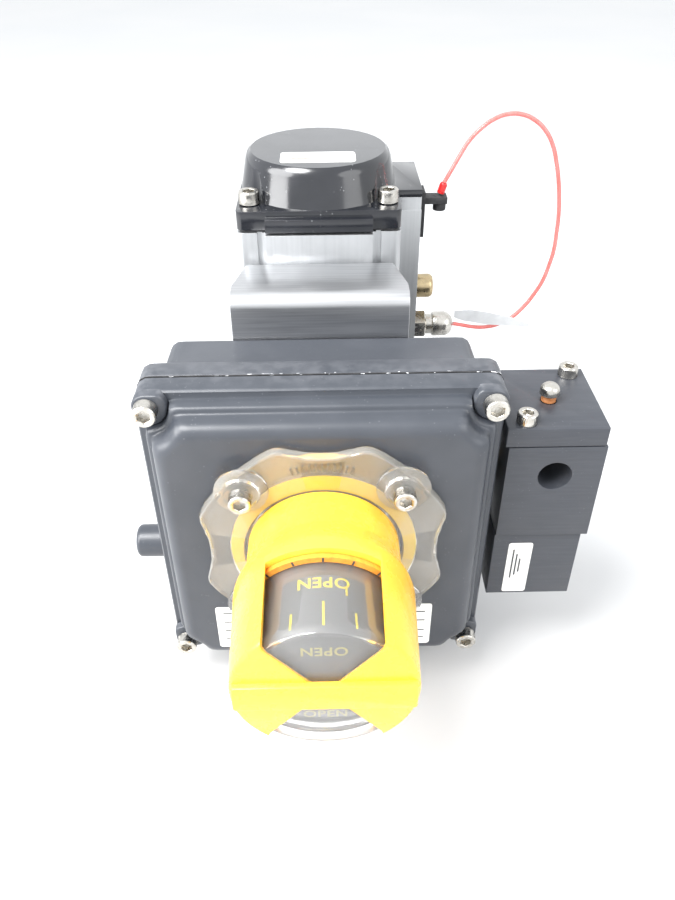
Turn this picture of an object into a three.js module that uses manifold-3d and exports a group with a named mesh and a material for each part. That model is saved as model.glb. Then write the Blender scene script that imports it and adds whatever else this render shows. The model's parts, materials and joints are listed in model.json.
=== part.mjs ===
// Rack-and-pinion pneumatic actuator with spring return, switch box, position beacon and valve.
// Millimetres, +Z up along the cylinder bore, -Y towards the beacon.
// The origin is the centre of the lower end cap's flat face, which the unit stands on.
import * as THREE from 'three';
import { mergeVertices } from 'three/addons/utils/BufferGeometryUtils.js';
import Module from 'manifold-3d';

const wasm = await Module();
wasm.setup();

// ---- Driving dimensions ----
const GAP = 0.3; // air between touching pieces
const SHAFT_Z = 104; // height of the drive axis, which runs along Y

const BODY = { half: 39.5, corner: 3, low: 10.4, high: 197.6, bore: 30, boltRadius: 2.8, boltDepth: 20 };
const FRONT_PAD = { half: 25.6, face: -43.5 };
const SIDE_PAD = { face: 52, front: -12, back: 33, top: 204.2 };
const REAR_PAD = { half: 34, face: 47.5 };
const CAP = { thick: 9, boltX: 33.5, boltY: 28, padTop: 205.2, lobeLow: 204.5 };
const CAP_TOP = 2 * SHAFT_Z; // top face of the upper flange, z
const DOME = { base: 39.2, shoulder: 36.4, shoulderZ: 222, flat: 33.6, top: 226.2, hollow: 25, hollowTop: 220 };
const GASKET = { thick: 0.8 };

const GEAR = { module: 2, teeth: 18, pressure: Math.PI / 9, width: 17, play: 0.3 };
const PITCH_RADIUS = (GEAR.module * GEAR.teeth) / 2;
const PISTON = { radius: 29.4, inner: 39.3, thick: 14, cup: 21, cupDepth: 8, groove: 27.1 };
const RACK = { back: 26.2, width: 18, end: 38, toothed: 12.6 };
const SPRING = { radius: 16.5, wire: 1.9, turns: 6, low: 151.8, high: 217.6 };
const SHAFT = { front: 10, rear: 14.5, nose: -58, tail: 47.2, square: 17, squareDepth: 20, slot: 4 };
const BEARING = { front: 14, rear: 20.2 };
const LUG = { radius: 22, half: 59, low: 11.5, high: 18.5 };
const STOP = { radius: 4, tip: -6, rise: 18, y: 15 };

const PORT = { radius: 5.5, y: 3, lowZ: 125, highZ: 149, duct: 2.5, ductX: 44 };

const BRACKET = { thick: 3, half: 81.5, front: -83.3, wide: 40.5, narrow: 34, bend: 6, foot: 26, hole: 18 };
const BRACKET_BOLT = { x: 15, rise: 64, radius: 2.5 };

const BOX = { z: 96, back: -83.6, wall: 3, half: 69, ears: -115, seam: -126.3, flange: 76 };
const COVER = { back: -127.1, flange: -137.5, ear: -141.5, step: -144, face: -154, panel: 3 };
const COVER_TIER = { step: 71.7, panel: 68.7, notch: 10, fillet: 5, cavity: 64.5 };
const COVER_BOLT = { offset: 70, head: 5, length: 24 };
const SPINDLE = { radius: 6, from: -60, to: -171.7 };

const FLANGE = { back: -154.3, front: -158.8, bolt: 33, boss: 10.5, bossTop: -162.5 };
const CLEAR = { outer: 30.5, wall: 2, end: -229.8 };
const RING = { inner: 34.5, outer: 39.8, back: -154.6, front: -156.7 };
const SHROUD = { neck: 32.3, flare: 36.3, end: 34.3, from: -159.1, neckEnd: -177, flareEnd: -189, to: -232.2 };
const SHROUD_BAR = { half: 33.4, rise: 6.4, face: -234.7 };
const WINDOW = { half: 21.5, knee: 24.5, from: -195.5, apex: 3, apexRise: 3.2 };
const DRUM = { radius: 27.5, wall: 2, from: -160, to: -227.2, hub: 10 };

const VALVE = { x: [79.8, 122.3], y: [-137, -89], z: [89, 139.7] };
const PLATE = { x: [78, 121.5], y: [-137, -89], z: [140, 149.6] };
const PILOT = { x: [79.5, 120], y: [-136, -90], z: [49, 88.7] };
const BUTTON = { x: 100, y: -115, stem: 3.2, head: 4.4, travel: 2.5 };
const SPOOL = { radius: 4.6, bore: 5, low: 97, high: 137 };
const NIPPLE = { y: -101, z: 104, radius: 8 };
const PLUG = { y: -102, z: 57, radius: 8.5, end: -97 };

const WIRE_DIAMETER = 2.2;
const WIRE_ROUTE = [
  [64.8, 3, 206.6], [67.8, 3, 212.4], [71.8, 4, 219.6], [76.0, 5, 226.4], [81.6, 6, 232.1], [88.0, 7, 236.3],
  [94.8, 8, 238.3], [101.9, 8, 238.1], [108.9, 8, 235.2], [115.0, 8, 230.0], [119.6, 8, 222.9],
  [122.6, 8, 215.0], [125.0, 8, 206.6], [127.0, 8, 197.0], [128.4, 8, 187.0], [128.9, 8, 177.0],
  [128.7, 7, 167.4], [127.4, 7, 158.2], [125.0, 6, 149.6], [121.2, 6, 141.2], [115.6, 5, 133.2],
  [109.0, 4, 127.2], [101.4, 3.4, 123.4], [94.0, 3, 122.2], [87.0, 3, 122.6], [81.0, 3, 123.8], [75.9, 3, 124.8],
];

// ---- Materials ----
function finish(color, roughness, metalness, opacity = 1) {
  return new THREE.MeshStandardMaterial({ color, roughness, metalness, opacity, transparent: opacity < 1 });
}
const ANODISED = finish(0xc9ccce, 0.45, 0.8);
const BLACK_GLOSS = finish(0x101215, 0.2, 0.3);
const BLACK_COAT = finish(0x2b2f35, 0.45, 0.3);
const VALVE_BLACK = finish(0x26282c, 0.5, 0.4);
const STAINLESS = finish(0xb9b9b6, 0.35, 1);
const BRUSHED = finish(0x9d9fa2, 0.4, 1);
const CAST = finish(0x8c8f93, 0.6, 0.8);
const STEEL = finish(0x7d7f83, 0.4, 1);
const BRASS = finish(0xb79a5b, 0.35, 1);
const POLYMER = finish(0xe8e4d8, 0.6, 0);
const RUBBER = finish(0x17181a, 0.8, 0);
const YELLOW = finish(0xffd21a, 0.4, 0);
const CLEAR_PLASTIC = finish(0xf4f4f0, 0.08, 0, 0.3);
const DRUM_GREY = finish(0x55575b, 0.5, 0);
const RED = finish(0xd8232a, 0.4, 0);
const RED_CLEAR = finish(0xe8484a, 0.3, 0, 0.6);
const TAG_GREY = finish(0xd0d2d4, 0.5, 0);
const SWITCH_BLUE = finish(0x2c4f8a, 0.5, 0);

// ---- Solids ----
const AXES = {
  x: new THREE.Matrix4().makeBasis(unit(0, 1, 0), unit(0, 0, 1), unit(1, 0, 0)),
  y: new THREE.Matrix4().makeBasis(unit(1, 0, 0), unit(0, 0, 1), unit(0, -1, 0)),
  z: new THREE.Matrix4(),
};
const TURNS = { x: [0, 0, -Math.PI / 2], y: [0, 0, 0], z: [Math.PI / 2, 0, 0] };

function unit(x, y, z) {
  return new THREE.Vector3(x, y, z);
}

// A closed three.js geometry as a manifold solid, its shared corners merged.
function solid(geometry) {
  const bare = new THREE.BufferGeometry();
  bare.setAttribute('position', geometry.getAttribute('position').clone());
  if (geometry.index) bare.setIndex(geometry.index.clone());
  const merged = mergeVertices(bare, 1e-4);
  const corners = merged.index.array;
  const kept = [];
  for (let i = 0; i < corners.length; i += 3) {
    const [a, b, c] = [corners[i], corners[i + 1], corners[i + 2]];
    if (a !== b && b !== c && a !== c) kept.push(a, b, c);
  }
  return new wasm.Manifold(new wasm.Mesh({
    numProp: 3,
    vertProperties: new Float32Array(merged.getAttribute('position').array),
    triVerts: new Uint32Array(kept),
  }));
}

function join(first, ...others) {
  return others.reduce((whole, next) => whole.add(next), first);
}

function cut(first, ...tools) {
  return tools.reduce((left, tool) => left.subtract(tool), first);
}

function box(x, y, z) {
  const [lowX, highX] = x;
  const [lowY, highY] = y;
  const [lowZ, highZ] = z;
  const geometry = new THREE.BoxGeometry(highX - lowX, highY - lowY, highZ - lowZ);
  return solid(geometry.translate((lowX + highX) / 2, (lowY + highY) / 2, (lowZ + highZ) / 2));
}

// A solid of revolution about an axis through `at`; profile points are [radius, place along the axis].
function turned(axis, profile, at = [0, 0, 0], sides = 24) {
  const points = profile.map(([radius, along]) => new THREE.Vector2(radius, along));
  const geometry = new THREE.LatheGeometry(points, sides);
  const [rx, ry, rz] = TURNS[axis];
  geometry.rotateX(rx).rotateY(ry).rotateZ(rz);
  return solid(geometry.translate(...at));
}

function rod(axis, radius, low, high, at, sides = 14) {
  return turned(axis, [[0, low], [radius, low], [radius, high], [0, high]], at, sides);
}

function ring(axis, inner, outer, low, high, at, sides = 20) {
  return turned(axis, [[inner, low], [outer, low], [outer, high], [inner, high], [inner, low]], at, sides);
}

// A flat outline pulled along an axis: (y, z) for x, (x, z) for y, (x, y) for z.
function prism(axis, shape, low, high, segments = 6, bevel = 0) {
  const geometry = new THREE.ExtrudeGeometry(shape, {
    depth: high - low - 2 * bevel,
    curveSegments: segments,
    bevelEnabled: bevel > 0,
    bevelThickness: bevel,
    bevelSize: bevel,
    bevelOffset: -bevel,
    bevelSegments: 3,
  });
  geometry.translate(0, 0, axis === 'y' ? bevel - high : low + bevel);
  return solid(geometry.applyMatrix4(AXES[axis]));
}

function roundedRectangle(halfU, halfV, radius, centreU = 0, centreV = 0) {
  const u = halfU - radius;
  const v = halfV - radius;
  const shape = new THREE.Shape();
  shape.absarc(centreU + u, centreV + v, radius, 0, Math.PI / 2);
  shape.absarc(centreU - u, centreV + v, radius, Math.PI / 2, Math.PI);
  shape.absarc(centreU - u, centreV - v, radius, Math.PI, 1.5 * Math.PI);
  shape.absarc(centreU + u, centreV - v, radius, 1.5 * Math.PI, 2 * Math.PI);
  shape.closePath();
  return shape;
}

function outline(points) {
  return new THREE.Shape(points.map(([u, v]) => new THREE.Vector2(u, v)));
}

function corners(u, v) {
  return [[u, v], [-u, v], [-u, -v], [u, -v]];
}

const ON_SHAFT = [0, 0, SHAFT_Z];
const group = new THREE.Group();

function piece(name, shape, material, position = [0, 0, 0], rotation = [0, 0, 0]) {
  const { vertProperties, triVerts } = shape.getMesh();
  const geometry = new THREE.BufferGeometry();
  geometry.setAttribute('position', new THREE.BufferAttribute(vertProperties, 3));
  geometry.setIndex(new THREE.BufferAttribute(triVerts, 1));
  const mesh = new THREE.Mesh(geometry, material);
  mesh.name = name;
  mesh.position.set(...position);
  mesh.rotation.set(...rotation);
  group.add(mesh);
}

// A socket head cap screw along +Z, its head's seat at z = 0.
function capScrew(head, height, shank, length) {
  const body = turned('z', [
    [0, -length], [shank, -length], [shank, 0], [head, 0], [head, height], [0, height],
  ], [0, 0, 0], 10);
  return cut(body, rod('z', head * 0.52, height * 0.45, height + 1, [0, 0, 0], 6));
}

// ---- Actuator ----
// The extrusion's outline: a rounded square with the front pad and, if asked for, the side pad.
function bodySection(low, high, withSidePad) {
  const edge = BODY.half;
  const middle = edge - BODY.corner;
  const shape = new THREE.Shape();
  shape.absarc(middle, middle, BODY.corner, 0, Math.PI / 2);
  shape.absarc(-middle, middle, BODY.corner, Math.PI / 2, Math.PI);
  shape.absarc(-middle, -middle, BODY.corner, Math.PI, 1.5 * Math.PI);
  const pad = [[-FRONT_PAD.half, -edge], [-FRONT_PAD.half, FRONT_PAD.face], [FRONT_PAD.half, FRONT_PAD.face],
    [FRONT_PAD.half, -edge]];
  pad.forEach(([x, y]) => shape.lineTo(x, y));
  shape.absarc(middle, -middle, BODY.corner, 1.5 * Math.PI, 2 * Math.PI);
  const side = [[edge, SIDE_PAD.front], [SIDE_PAD.face, SIDE_PAD.front], [SIDE_PAD.face, SIDE_PAD.back],
    [edge, SIDE_PAD.back]];
  if (withSidePad) side.forEach(([x, y]) => shape.lineTo(x, y));
  shape.closePath();
  return prism('z', shape, low, high, 3);
}

function capBoltHoles(radius, low, high) {
  return corners(CAP.boltX, CAP.boltY).map(([x, y]) => rod('z', radius, low, high, [x, y, 0], 8));
}

function actuatorBody() {
  const riser = box([BODY.half + GAP, SIDE_PAD.face - 0.2], [SIDE_PAD.front + 0.2, SIDE_PAD.back - 0.2],
    [BODY.high - 8, SIDE_PAD.top]);
  const rearPad = box([-REAR_PAD.half, REAR_PAD.half], [0, REAR_PAD.face],
    [SHAFT_Z - REAR_PAD.half, SHAFT_Z + REAR_PAD.half]);
  const block = join(bodySection(BODY.low, BODY.high, true), riser, rearPad);
  const rearBolts = corners(24.75, 24.75).map(([x, z]) => rod('y', 3.4, 35, 50, [x, 0, SHAFT_Z + z], 8));
  const bracketBolts = corners(BRACKET_BOLT.x, BRACKET_BOLT.rise)
    .map(([x, z]) => rod('y', BODY.boltRadius, -50, -33, [x, 0, SHAFT_Z + z], 8));
  const stops = [1, -1].map((side) => rod('x', STOP.radius + GAP, -60, 0, [0, STOP.y, SHAFT_Z + side * STOP.rise], 8));
  const channels = [1, -1].map((side) => box([side * 28.6 - 1.2, side * 28.6 + 1.2], [-50, -37.6], [0, 250]));
  return cut(
    block,
    rod('z', BODY.bore, 0, 250, [0, 0, 0], 32),
    rod('y', BEARING.front + GAP, -60, 0, ON_SHAFT, 24),
    rod('y', BEARING.rear + GAP, 0, 60, ON_SHAFT, 24),
    ...capBoltHoles(BODY.boltRadius, BODY.high - BODY.boltDepth, 250),
    ...capBoltHoles(BODY.boltRadius, 0, BODY.low + BODY.boltDepth),
    ...rearBolts, ...bracketBolts, ...stops, ...channels,
    rod('x', PORT.radius, 25, 60, [0, PORT.y, PORT.lowZ]),
    rod('x', PORT.radius, 38, 60, [0, PORT.y, PORT.highZ]),
    rod('z', PORT.duct, PORT.highZ, 250, [PORT.ductX, PORT.y, 0], 8),
  );
}

function upperEndCap() {
  const flange = prism('z', roundedRectangle(BODY.half, BODY.half, BODY.corner), CAP_TOP - CAP.thick, CAP_TOP, 3);
  const pad = box([-FRONT_PAD.half, FRONT_PAD.half], [FRONT_PAD.face, 0], [CAP_TOP - CAP.thick, CAP.padTop]);
  const lobe = box([0, SIDE_PAD.face], [SIDE_PAD.front, SIDE_PAD.back], [CAP.lobeLow, CAP_TOP]);
  const dome = turned('z', [
    [0, CAP_TOP - 2], [DOME.base, CAP_TOP - 2], [DOME.base, CAP_TOP], [DOME.shoulder, DOME.shoulderZ],
    [DOME.shoulder - 1.1, DOME.shoulderZ + 2.8], [DOME.flat, DOME.top], [0, DOME.top],
  ], [0, 0, 0], 36);
  const hollow = turned('z', [
    [0, 190], [DOME.hollow, 190], [DOME.hollow, DOME.hollowTop - 2], [DOME.hollow - 2, DOME.hollowTop],
    [0, DOME.hollowTop],
  ], [0, 0, 0], 24);
  return cut(
    join(flange, pad, lobe, dome), hollow,
    ...capBoltHoles(BODY.boltRadius, 190, 215),
    ...corners(CAP.boltX, CAP.boltY).map(([x, y]) => rod('z', 7.2, CAP_TOP, 240, [x, y, 0], 8)),
  );
}

function lowerEndCap() {
  return cut(
    bodySection(0, CAP.thick, false),
    rod('z', 20, 5, 12, [0, 0, 0], 24),
    ...capBoltHoles(BODY.boltRadius, -1, 12),
    ...capBoltHoles(5.4, -1, 6),
  );
}

function gasket(low) {
  return cut(
    prism('z', roundedRectangle(BODY.half - 1, BODY.half - 1, BODY.corner), low, low + GASKET.thick, 3),
    rod('z', BODY.bore, 0, 250, [0, 0, 0], 32),
    ...capBoltHoles(BODY.boltRadius + 0.4, 0, 250),
  );
}

// Outline of an involute pinion, a tooth on +u.
function pinionOutline() {
  const { module, teeth, pressure, play } = GEAR;
  const base = PITCH_RADIUS * Math.cos(pressure);
  const root = PITCH_RADIUS - 1.25 * module;
  const tip = PITCH_RADIUS + module;
  const involute = (angle) => Math.tan(angle) - angle;
  const halfAtPitch = Math.PI / (2 * teeth) - play / 2 / PITCH_RADIUS;
  const halfAt = (radius) => halfAtPitch + involute(pressure) - involute(Math.acos(Math.min(1, base / radius)));
  const steps = 2;
  const points = [];
  for (let tooth = 0; tooth < teeth; tooth += 1) {
    const centre = (tooth * 2 * Math.PI) / teeth;
    const flank = [[root, halfAt(base)]];
    for (let i = 0; i <= steps; i += 1) {
      const radius = base + ((tip - base) * i) / steps;
      flank.push([radius, halfAt(radius)]);
    }
    const rising = flank.map(([radius, half]) => [radius, centre - half]);
    const falling = flank.map(([radius, half]) => [radius, centre + half]).reverse();
    for (const [radius, angle] of [...rising, ...falling]) {
      points.push([radius * Math.cos(angle), radius * Math.sin(angle)]);
    }
  }
  return outline(points);
}

function pinionShaft() {
  const shaft = turned('y', [
    [0, SHAFT.nose], [SHAFT.front - 1, SHAFT.nose], [SHAFT.front, SHAFT.nose + 1], [SHAFT.front, -7],
    [SHAFT.rear, -7], [SHAFT.rear, SHAFT.tail], [0, SHAFT.tail],
  ], ON_SHAFT, 24);
  const gear = prism('y', pinionOutline(), -GEAR.width / 2, GEAR.width / 2).translate(0, 0, SHAFT_Z);
  const lug = new THREE.Shape();
  const half = THREE.MathUtils.degToRad(LUG.half);
  lug.moveTo(0, 0);
  lug.absarc(0, 0, LUG.radius, Math.PI / 4 - half, Math.PI / 4 + half);
  lug.closePath();
  const stop = prism('y', lug, LUG.low, LUG.high, 8).translate(0, 0, SHAFT_Z);
  const half17 = SHAFT.square / 2;
  return cut(
    join(shaft, gear, stop),
    box([-SHAFT.slot / 2, SHAFT.slot / 2], [SHAFT.nose - 2, SHAFT.nose + 4], [SHAFT_Z - 20, SHAFT_Z + 20]),
    box([-half17, half17], [SHAFT.tail - SHAFT.squareDepth, 60], [SHAFT_Z - half17, SHAFT_Z + half17]),
  );
}

// The upper piston: a round head with a rack that reaches down past the pinion on the -X side.
function rackPiston() {
  const low = SHAFT_Z + PISTON.inner;
  const high = low + PISTON.thick;
  const groove = low + 4.5;
  const head = turned('z', [
    [0, low], [PISTON.radius, low], [PISTON.radius, groove], [PISTON.groove, groove],
    [PISTON.groove, groove + 4.6], [PISTON.radius, groove + 4.6], [PISTON.radius, high],
    [PISTON.cup, high], [PISTON.cup, high - PISTON.cupDepth], [0, high - PISTON.cupDepth],
  ], [0, 0, 0], 32);
  const pitch = Math.PI * GEAR.module;
  const tip = -(PITCH_RADIUS - GEAR.module);
  const root = -(PITCH_RADIUS + 1.25 * GEAR.module);
  const halfPitchLine = pitch / 4 - GEAR.play / 2;
  const slope = Math.tan(GEAR.pressure);
  const halfTip = halfPitchLine - GEAR.module * slope;
  const halfRoot = halfPitchLine + 1.25 * GEAR.module * slope;
  const face = [];
  for (let centre = -5.5 * pitch; centre < RACK.toothed; centre += pitch) {
    face.push([root, centre - halfRoot], [tip, centre - halfTip], [tip, centre + halfTip], [root, centre + halfRoot]);
  }
  const arm = outline([
    [-RACK.back, PISTON.inner + 3], [-RACK.back, -RACK.end], [root, -RACK.end], ...face, [root, PISTON.inner + 3],
  ]);
  return join(head, prism('y', arm, -RACK.width / 2, RACK.width / 2).translate(0, 0, SHAFT_Z));
}

function pistonSeal() {
  const low = SHAFT_Z + PISTON.inner + 4.8;
  return ring('z', PISTON.groove + GAP, BODY.bore - 0.25, low, low + 4, [0, 0, 0], 32);
}

function stopScrew() {
  const screw = rod('x', STOP.radius, -38.5, STOP.tip, [0, 0, 0], 12);
  return cut(screw, rod('x', 2.4, -40, -34, [0, 0, 0], 6));
}

function returnSpring() {
  const height = SPRING.high - SPRING.low - 2 * SPRING.wire;
  class Coil extends THREE.Curve {
    getPoint(t, target = new THREE.Vector3()) {
      const angle = t * SPRING.turns * 2 * Math.PI;
      const ends = Math.min(1, Math.max(0, (t - 0.1) / 0.8)); // the first and last turns lie flat
      return target.set(SPRING.radius * Math.cos(angle), SPRING.radius * Math.sin(angle),
        SPRING.low + SPRING.wire + height * (0.05 * t + 0.95 * ends));
    }
  }
  return sweep(new Coil(), SPRING.wire, SPRING.turns * 10, 5);
}

// A round section pulled along a curve, closed at both ends.
function sweep(curve, radius, steps, sides) {
  const section = new THREE.Shape();
  for (let i = 0; i < sides; i += 1) {
    const angle = (i * 2 * Math.PI) / sides;
    const point = [radius * Math.cos(angle), radius * Math.sin(angle)];
    if (i === 0) section.moveTo(...point);
    else section.lineTo(...point);
  }
  section.closePath();
  return solid(new THREE.ExtrudeGeometry(section, { steps, extrudePath: curve, bevelEnabled: false }));
}

function buildActuator() {
  piece('actuator_body', actuatorBody(), ANODISED);
  piece('upper_end_cap', upperEndCap(), BLACK_GLOSS);
  piece('lower_end_cap', lowerEndCap(), BLACK_GLOSS);
  piece('upper_cap_gasket', gasket(BODY.high + GAP), RUBBER);
  piece('lower_cap_gasket', gasket(BODY.low - GAP - GASKET.thick), RUBBER);
  corners(CAP.boltX, CAP.boltY).forEach(([x, y], i) => {
    piece(`upper_cap_screw_${i + 1}`, capScrew(5, 6, 2.5, 22), STAINLESS, [x, y, CAP_TOP + GAP]);
  });
  const mirrored = [[0, 0, 2 * SHAFT_Z], [0, Math.PI, 0]];
  piece('upper_piston', rackPiston(), CAST);
  piece('lower_piston', rackPiston(), CAST, ...mirrored);
  piece('upper_piston_seal', pistonSeal(), RUBBER);
  piece('lower_piston_seal', pistonSeal(), RUBBER, ...mirrored);
  piece('return_spring', returnSpring(), STEEL);
  piece('pinion_shaft', pinionShaft(), STEEL);
  piece('front_bearing', ring('y', SHAFT.front + GAP, BEARING.front, -42.5, -31, ON_SHAFT), POLYMER);
  piece('rear_bearing', ring('y', SHAFT.rear + GAP, BEARING.rear, 32, 46, ON_SHAFT), POLYMER);
  [1, -1].forEach((side, i) => {
    piece(`stop_screw_${i + 1}`, stopScrew(), STAINLESS, [0, STOP.y, SHAFT_Z + side * STOP.rise]);
  });
  buildPortSide();
}

function buildPortSide() {
  const face = SIDE_PAD.face + GAP;
  piece('upper_port_plug', turned('x', [
    [0, face - 9], [PORT.radius - GAP, face - 9], [PORT.radius - GAP, face], [6.5, face], [6.5, face + 9],
    [5.5, face + 10], [0, face + 10],
  ], [0, PORT.y, PORT.highZ], 20), BRASS);
  piece('lower_port_fitting', turned('x', [
    [0, face - 9], [PORT.radius - GAP, face - 9], [PORT.radius - GAP, face], [8, face], [8, face + 7],
    [6, face + 7.5], [6, face + 11], [7, face + 11.5], [7, face + 19], [5.4, face + 21.6], [2.6, face + 23],
    [0, face + 23.2],
  ], [0, PORT.y, PORT.lowZ], 24), STAINLESS);
  const tab = join(
    box([face, face + 2.4], [-4, 8], [180, 203.5]),
    box([face, 66.5], [-1, 7], [196.5, 199.8]),
    rod('z', 3.4, 192.5, 200, [63, PORT.y, 0], 16),
  );
  piece('seal_tab', tab, RUBBER);
  piece('seal_ferrule', turned('z', [[0, 0], [2, 0], [2, 4.6], [1.5, 5.6], [0, 5.6]], [0, 0, 0], 10), RED,
    [63.2, PORT.y, 201], [0, THREE.MathUtils.degToRad(16), 0]);
}

function buildSealWire() {
  const route = new THREE.CatmullRomCurve3(WIRE_ROUTE.map((point) => unit(...point)));
  piece('seal_wire', sweep(route, WIRE_DIAMETER / 2, 52, 8), RED_CLEAR);
  const leaf = outline([[75.5, 134.6], [84, 135], [94, 133.4], [108, 130], [125, 123], [108, 124.6], [94, 125.6],
    [80, 128.4], [75.5, 130.5]]);
  piece('seal_tag', prism('y', leaf, -0.6, 0.2), TAG_GREY);
}

// ---- Bracket and coupling ----
function mountingBracket() {
  const { thick, half, front, wide, narrow, bend, foot } = BRACKET;
  const back = FRONT_PAD.face - GAP;
  const centre = (front + back) / 2;
  const depth = (back - front) / 2;
  const outer = prism('x', roundedRectangle(depth, half, bend, centre, SHAFT_Z), -wide, wide, 4);
  const inner = prism('x', roundedRectangle(depth - thick, half - thick, bend - thick, centre, SHAFT_Z),
    -wide - 1, wide + 1, 4);
  const reach = half - foot;
  const mouth = box([-wide - 1, wide + 1], [back - thick - 1, back + 1], [SHAFT_Z - reach, SHAFT_Z + reach]);
  const taper = outline([[-wide - 1, front - 1], [wide + 1, front - 1], [wide + 1, front + 8], [narrow, back + 1],
    [-narrow, back + 1], [-wide - 1, front + 8]]);
  const bolts = corners(BRACKET_BOLT.x, BRACKET_BOLT.rise)
    .map(([x, z]) => rod('y', BODY.boltRadius, back - 6, back + 1, [x, 0, SHAFT_Z + z], 8));
  return cut(outer, inner, mouth, rod('y', BRACKET.hole, front - 1, front + thick + 1, ON_SHAFT, 24), ...bolts)
    .intersect(prism('z', taper, 0, CAP_TOP));
}

function buildBracket() {
  piece('mounting_bracket', mountingBracket(), BRUSHED);
  const seat = FRONT_PAD.face - GAP - BRACKET.thick - GAP;
  corners(BRACKET_BOLT.x, BRACKET_BOLT.rise).forEach(([x, z], i) => {
    piece(`bracket_screw_${i + 1}`, capScrew(4.3, 5, BRACKET_BOLT.radius, 13), STAINLESS,
      [x, seat, SHAFT_Z + z], [Math.PI / 2, 0, 0]);
  });
  const coupling = turned('y', [
    [SPINDLE.radius + GAP, -77.5], [13.2, -77.5], [14, -76.7], [14, -50.8], [13.2, -50], [SHAFT.front + GAP, -50],
    [SHAFT.front + GAP, -58.6], [SPINDLE.radius + GAP, -58.6], [SPINDLE.radius + GAP, -77.5],
  ], ON_SHAFT, 24);
  piece('shaft_coupling', coupling, STAINLESS);
}

// ---- Switch box ----
function square(half, radius, low, high, segments = 3) {
  return prism('y', roundedRectangle(half, half, radius, 0, BOX.z), low, high, segments);
}

function coverBoltHoles(radius, low, high) {
  return corners(COVER_BOLT.offset, COVER_BOLT.offset)
    .map(([x, z]) => rod('y', radius, low, high, [x, 0, BOX.z + z], 8));
}

function enclosureBase() {
  const shell = join(
    square(BOX.half, 5, BOX.ears - 2, BOX.back),
    square(BOX.flange, 6, BOX.seam, BOX.ears),
  );
  return cut(
    shell,
    square(BOX.half - BOX.wall, 8, BOX.seam - 1, BOX.back - BOX.wall),
    square(BOX.flange - 5, 15, BOX.seam - 1, BOX.ears - 3),
    rod('y', SPINDLE.radius + GAP, -90, -80, ON_SHAFT),
    ...coverBoltHoles(2.8, BOX.seam - 1, BOX.ears + 2),
    rod('x', NIPPLE.radius + GAP, 60, 72, [0, NIPPLE.y, NIPPLE.z]),
    rod('x', 6 + GAP, -72, -60, [0, PLUG.y, PLUG.z]),
  );
}

// A square outline whose corners are scooped out round the cover screws.
function notchedSquare(half, notch) {
  const reach = COVER_BOLT.offset - Math.sqrt(notch ** 2 - (half - COVER_BOLT.offset) ** 2);
  const angle = Math.atan2(half - COVER_BOLT.offset, reach - COVER_BOLT.offset);
  const shape = new THREE.Shape();
  for (let quarter = 0; quarter < 4; quarter += 1) {
    const turn = (quarter * Math.PI) / 2;
    const centre = new THREE.Vector2(COVER_BOLT.offset, COVER_BOLT.offset).rotateAround(new THREE.Vector2(), turn);
    shape.absarc(centre.x, BOX.z + centre.y, notch, turn + Math.PI / 2 - angle, turn + angle, true);
  }
  shape.closePath();
  return shape;
}

function enclosureCover() {
  const { step, panel, notch, fillet, cavity } = COVER_TIER;
  const ears = coverBoltHoles(8, COVER.ear, COVER.flange + 1);
  const shell = join(
    square(BOX.flange, 6, COVER.flange, COVER.back),
    prism('y', notchedSquare(step, notch - 1), COVER.step, COVER.flange + 2, 5),
    prism('y', notchedSquare(panel, notch), COVER.face, COVER.back - 1, 5, fillet),
    ...ears.map((ear) => ear.intersect(square(BOX.flange, 6, COVER.ear, COVER.flange + 1))),
  );
  const beaconBolts = corners(FLANGE.bolt, FLANGE.bolt)
    .map(([x, z]) => rod('y', 2.8, -160, -148, [x, 0, SHAFT_Z + z], 8));
  return cut(
    shell,
    square(cavity, 16, COVER.face + COVER.panel, COVER.back + 1, 3),
    square(cavity + 3, 16, COVER.flange + 1, COVER.back + 1, 3),
    rod('y', SPINDLE.radius + GAP, -160, -140, ON_SHAFT),
    ...coverBoltHoles(2.8, -160, -120),
    ...beaconBolts,
  );
}

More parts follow.
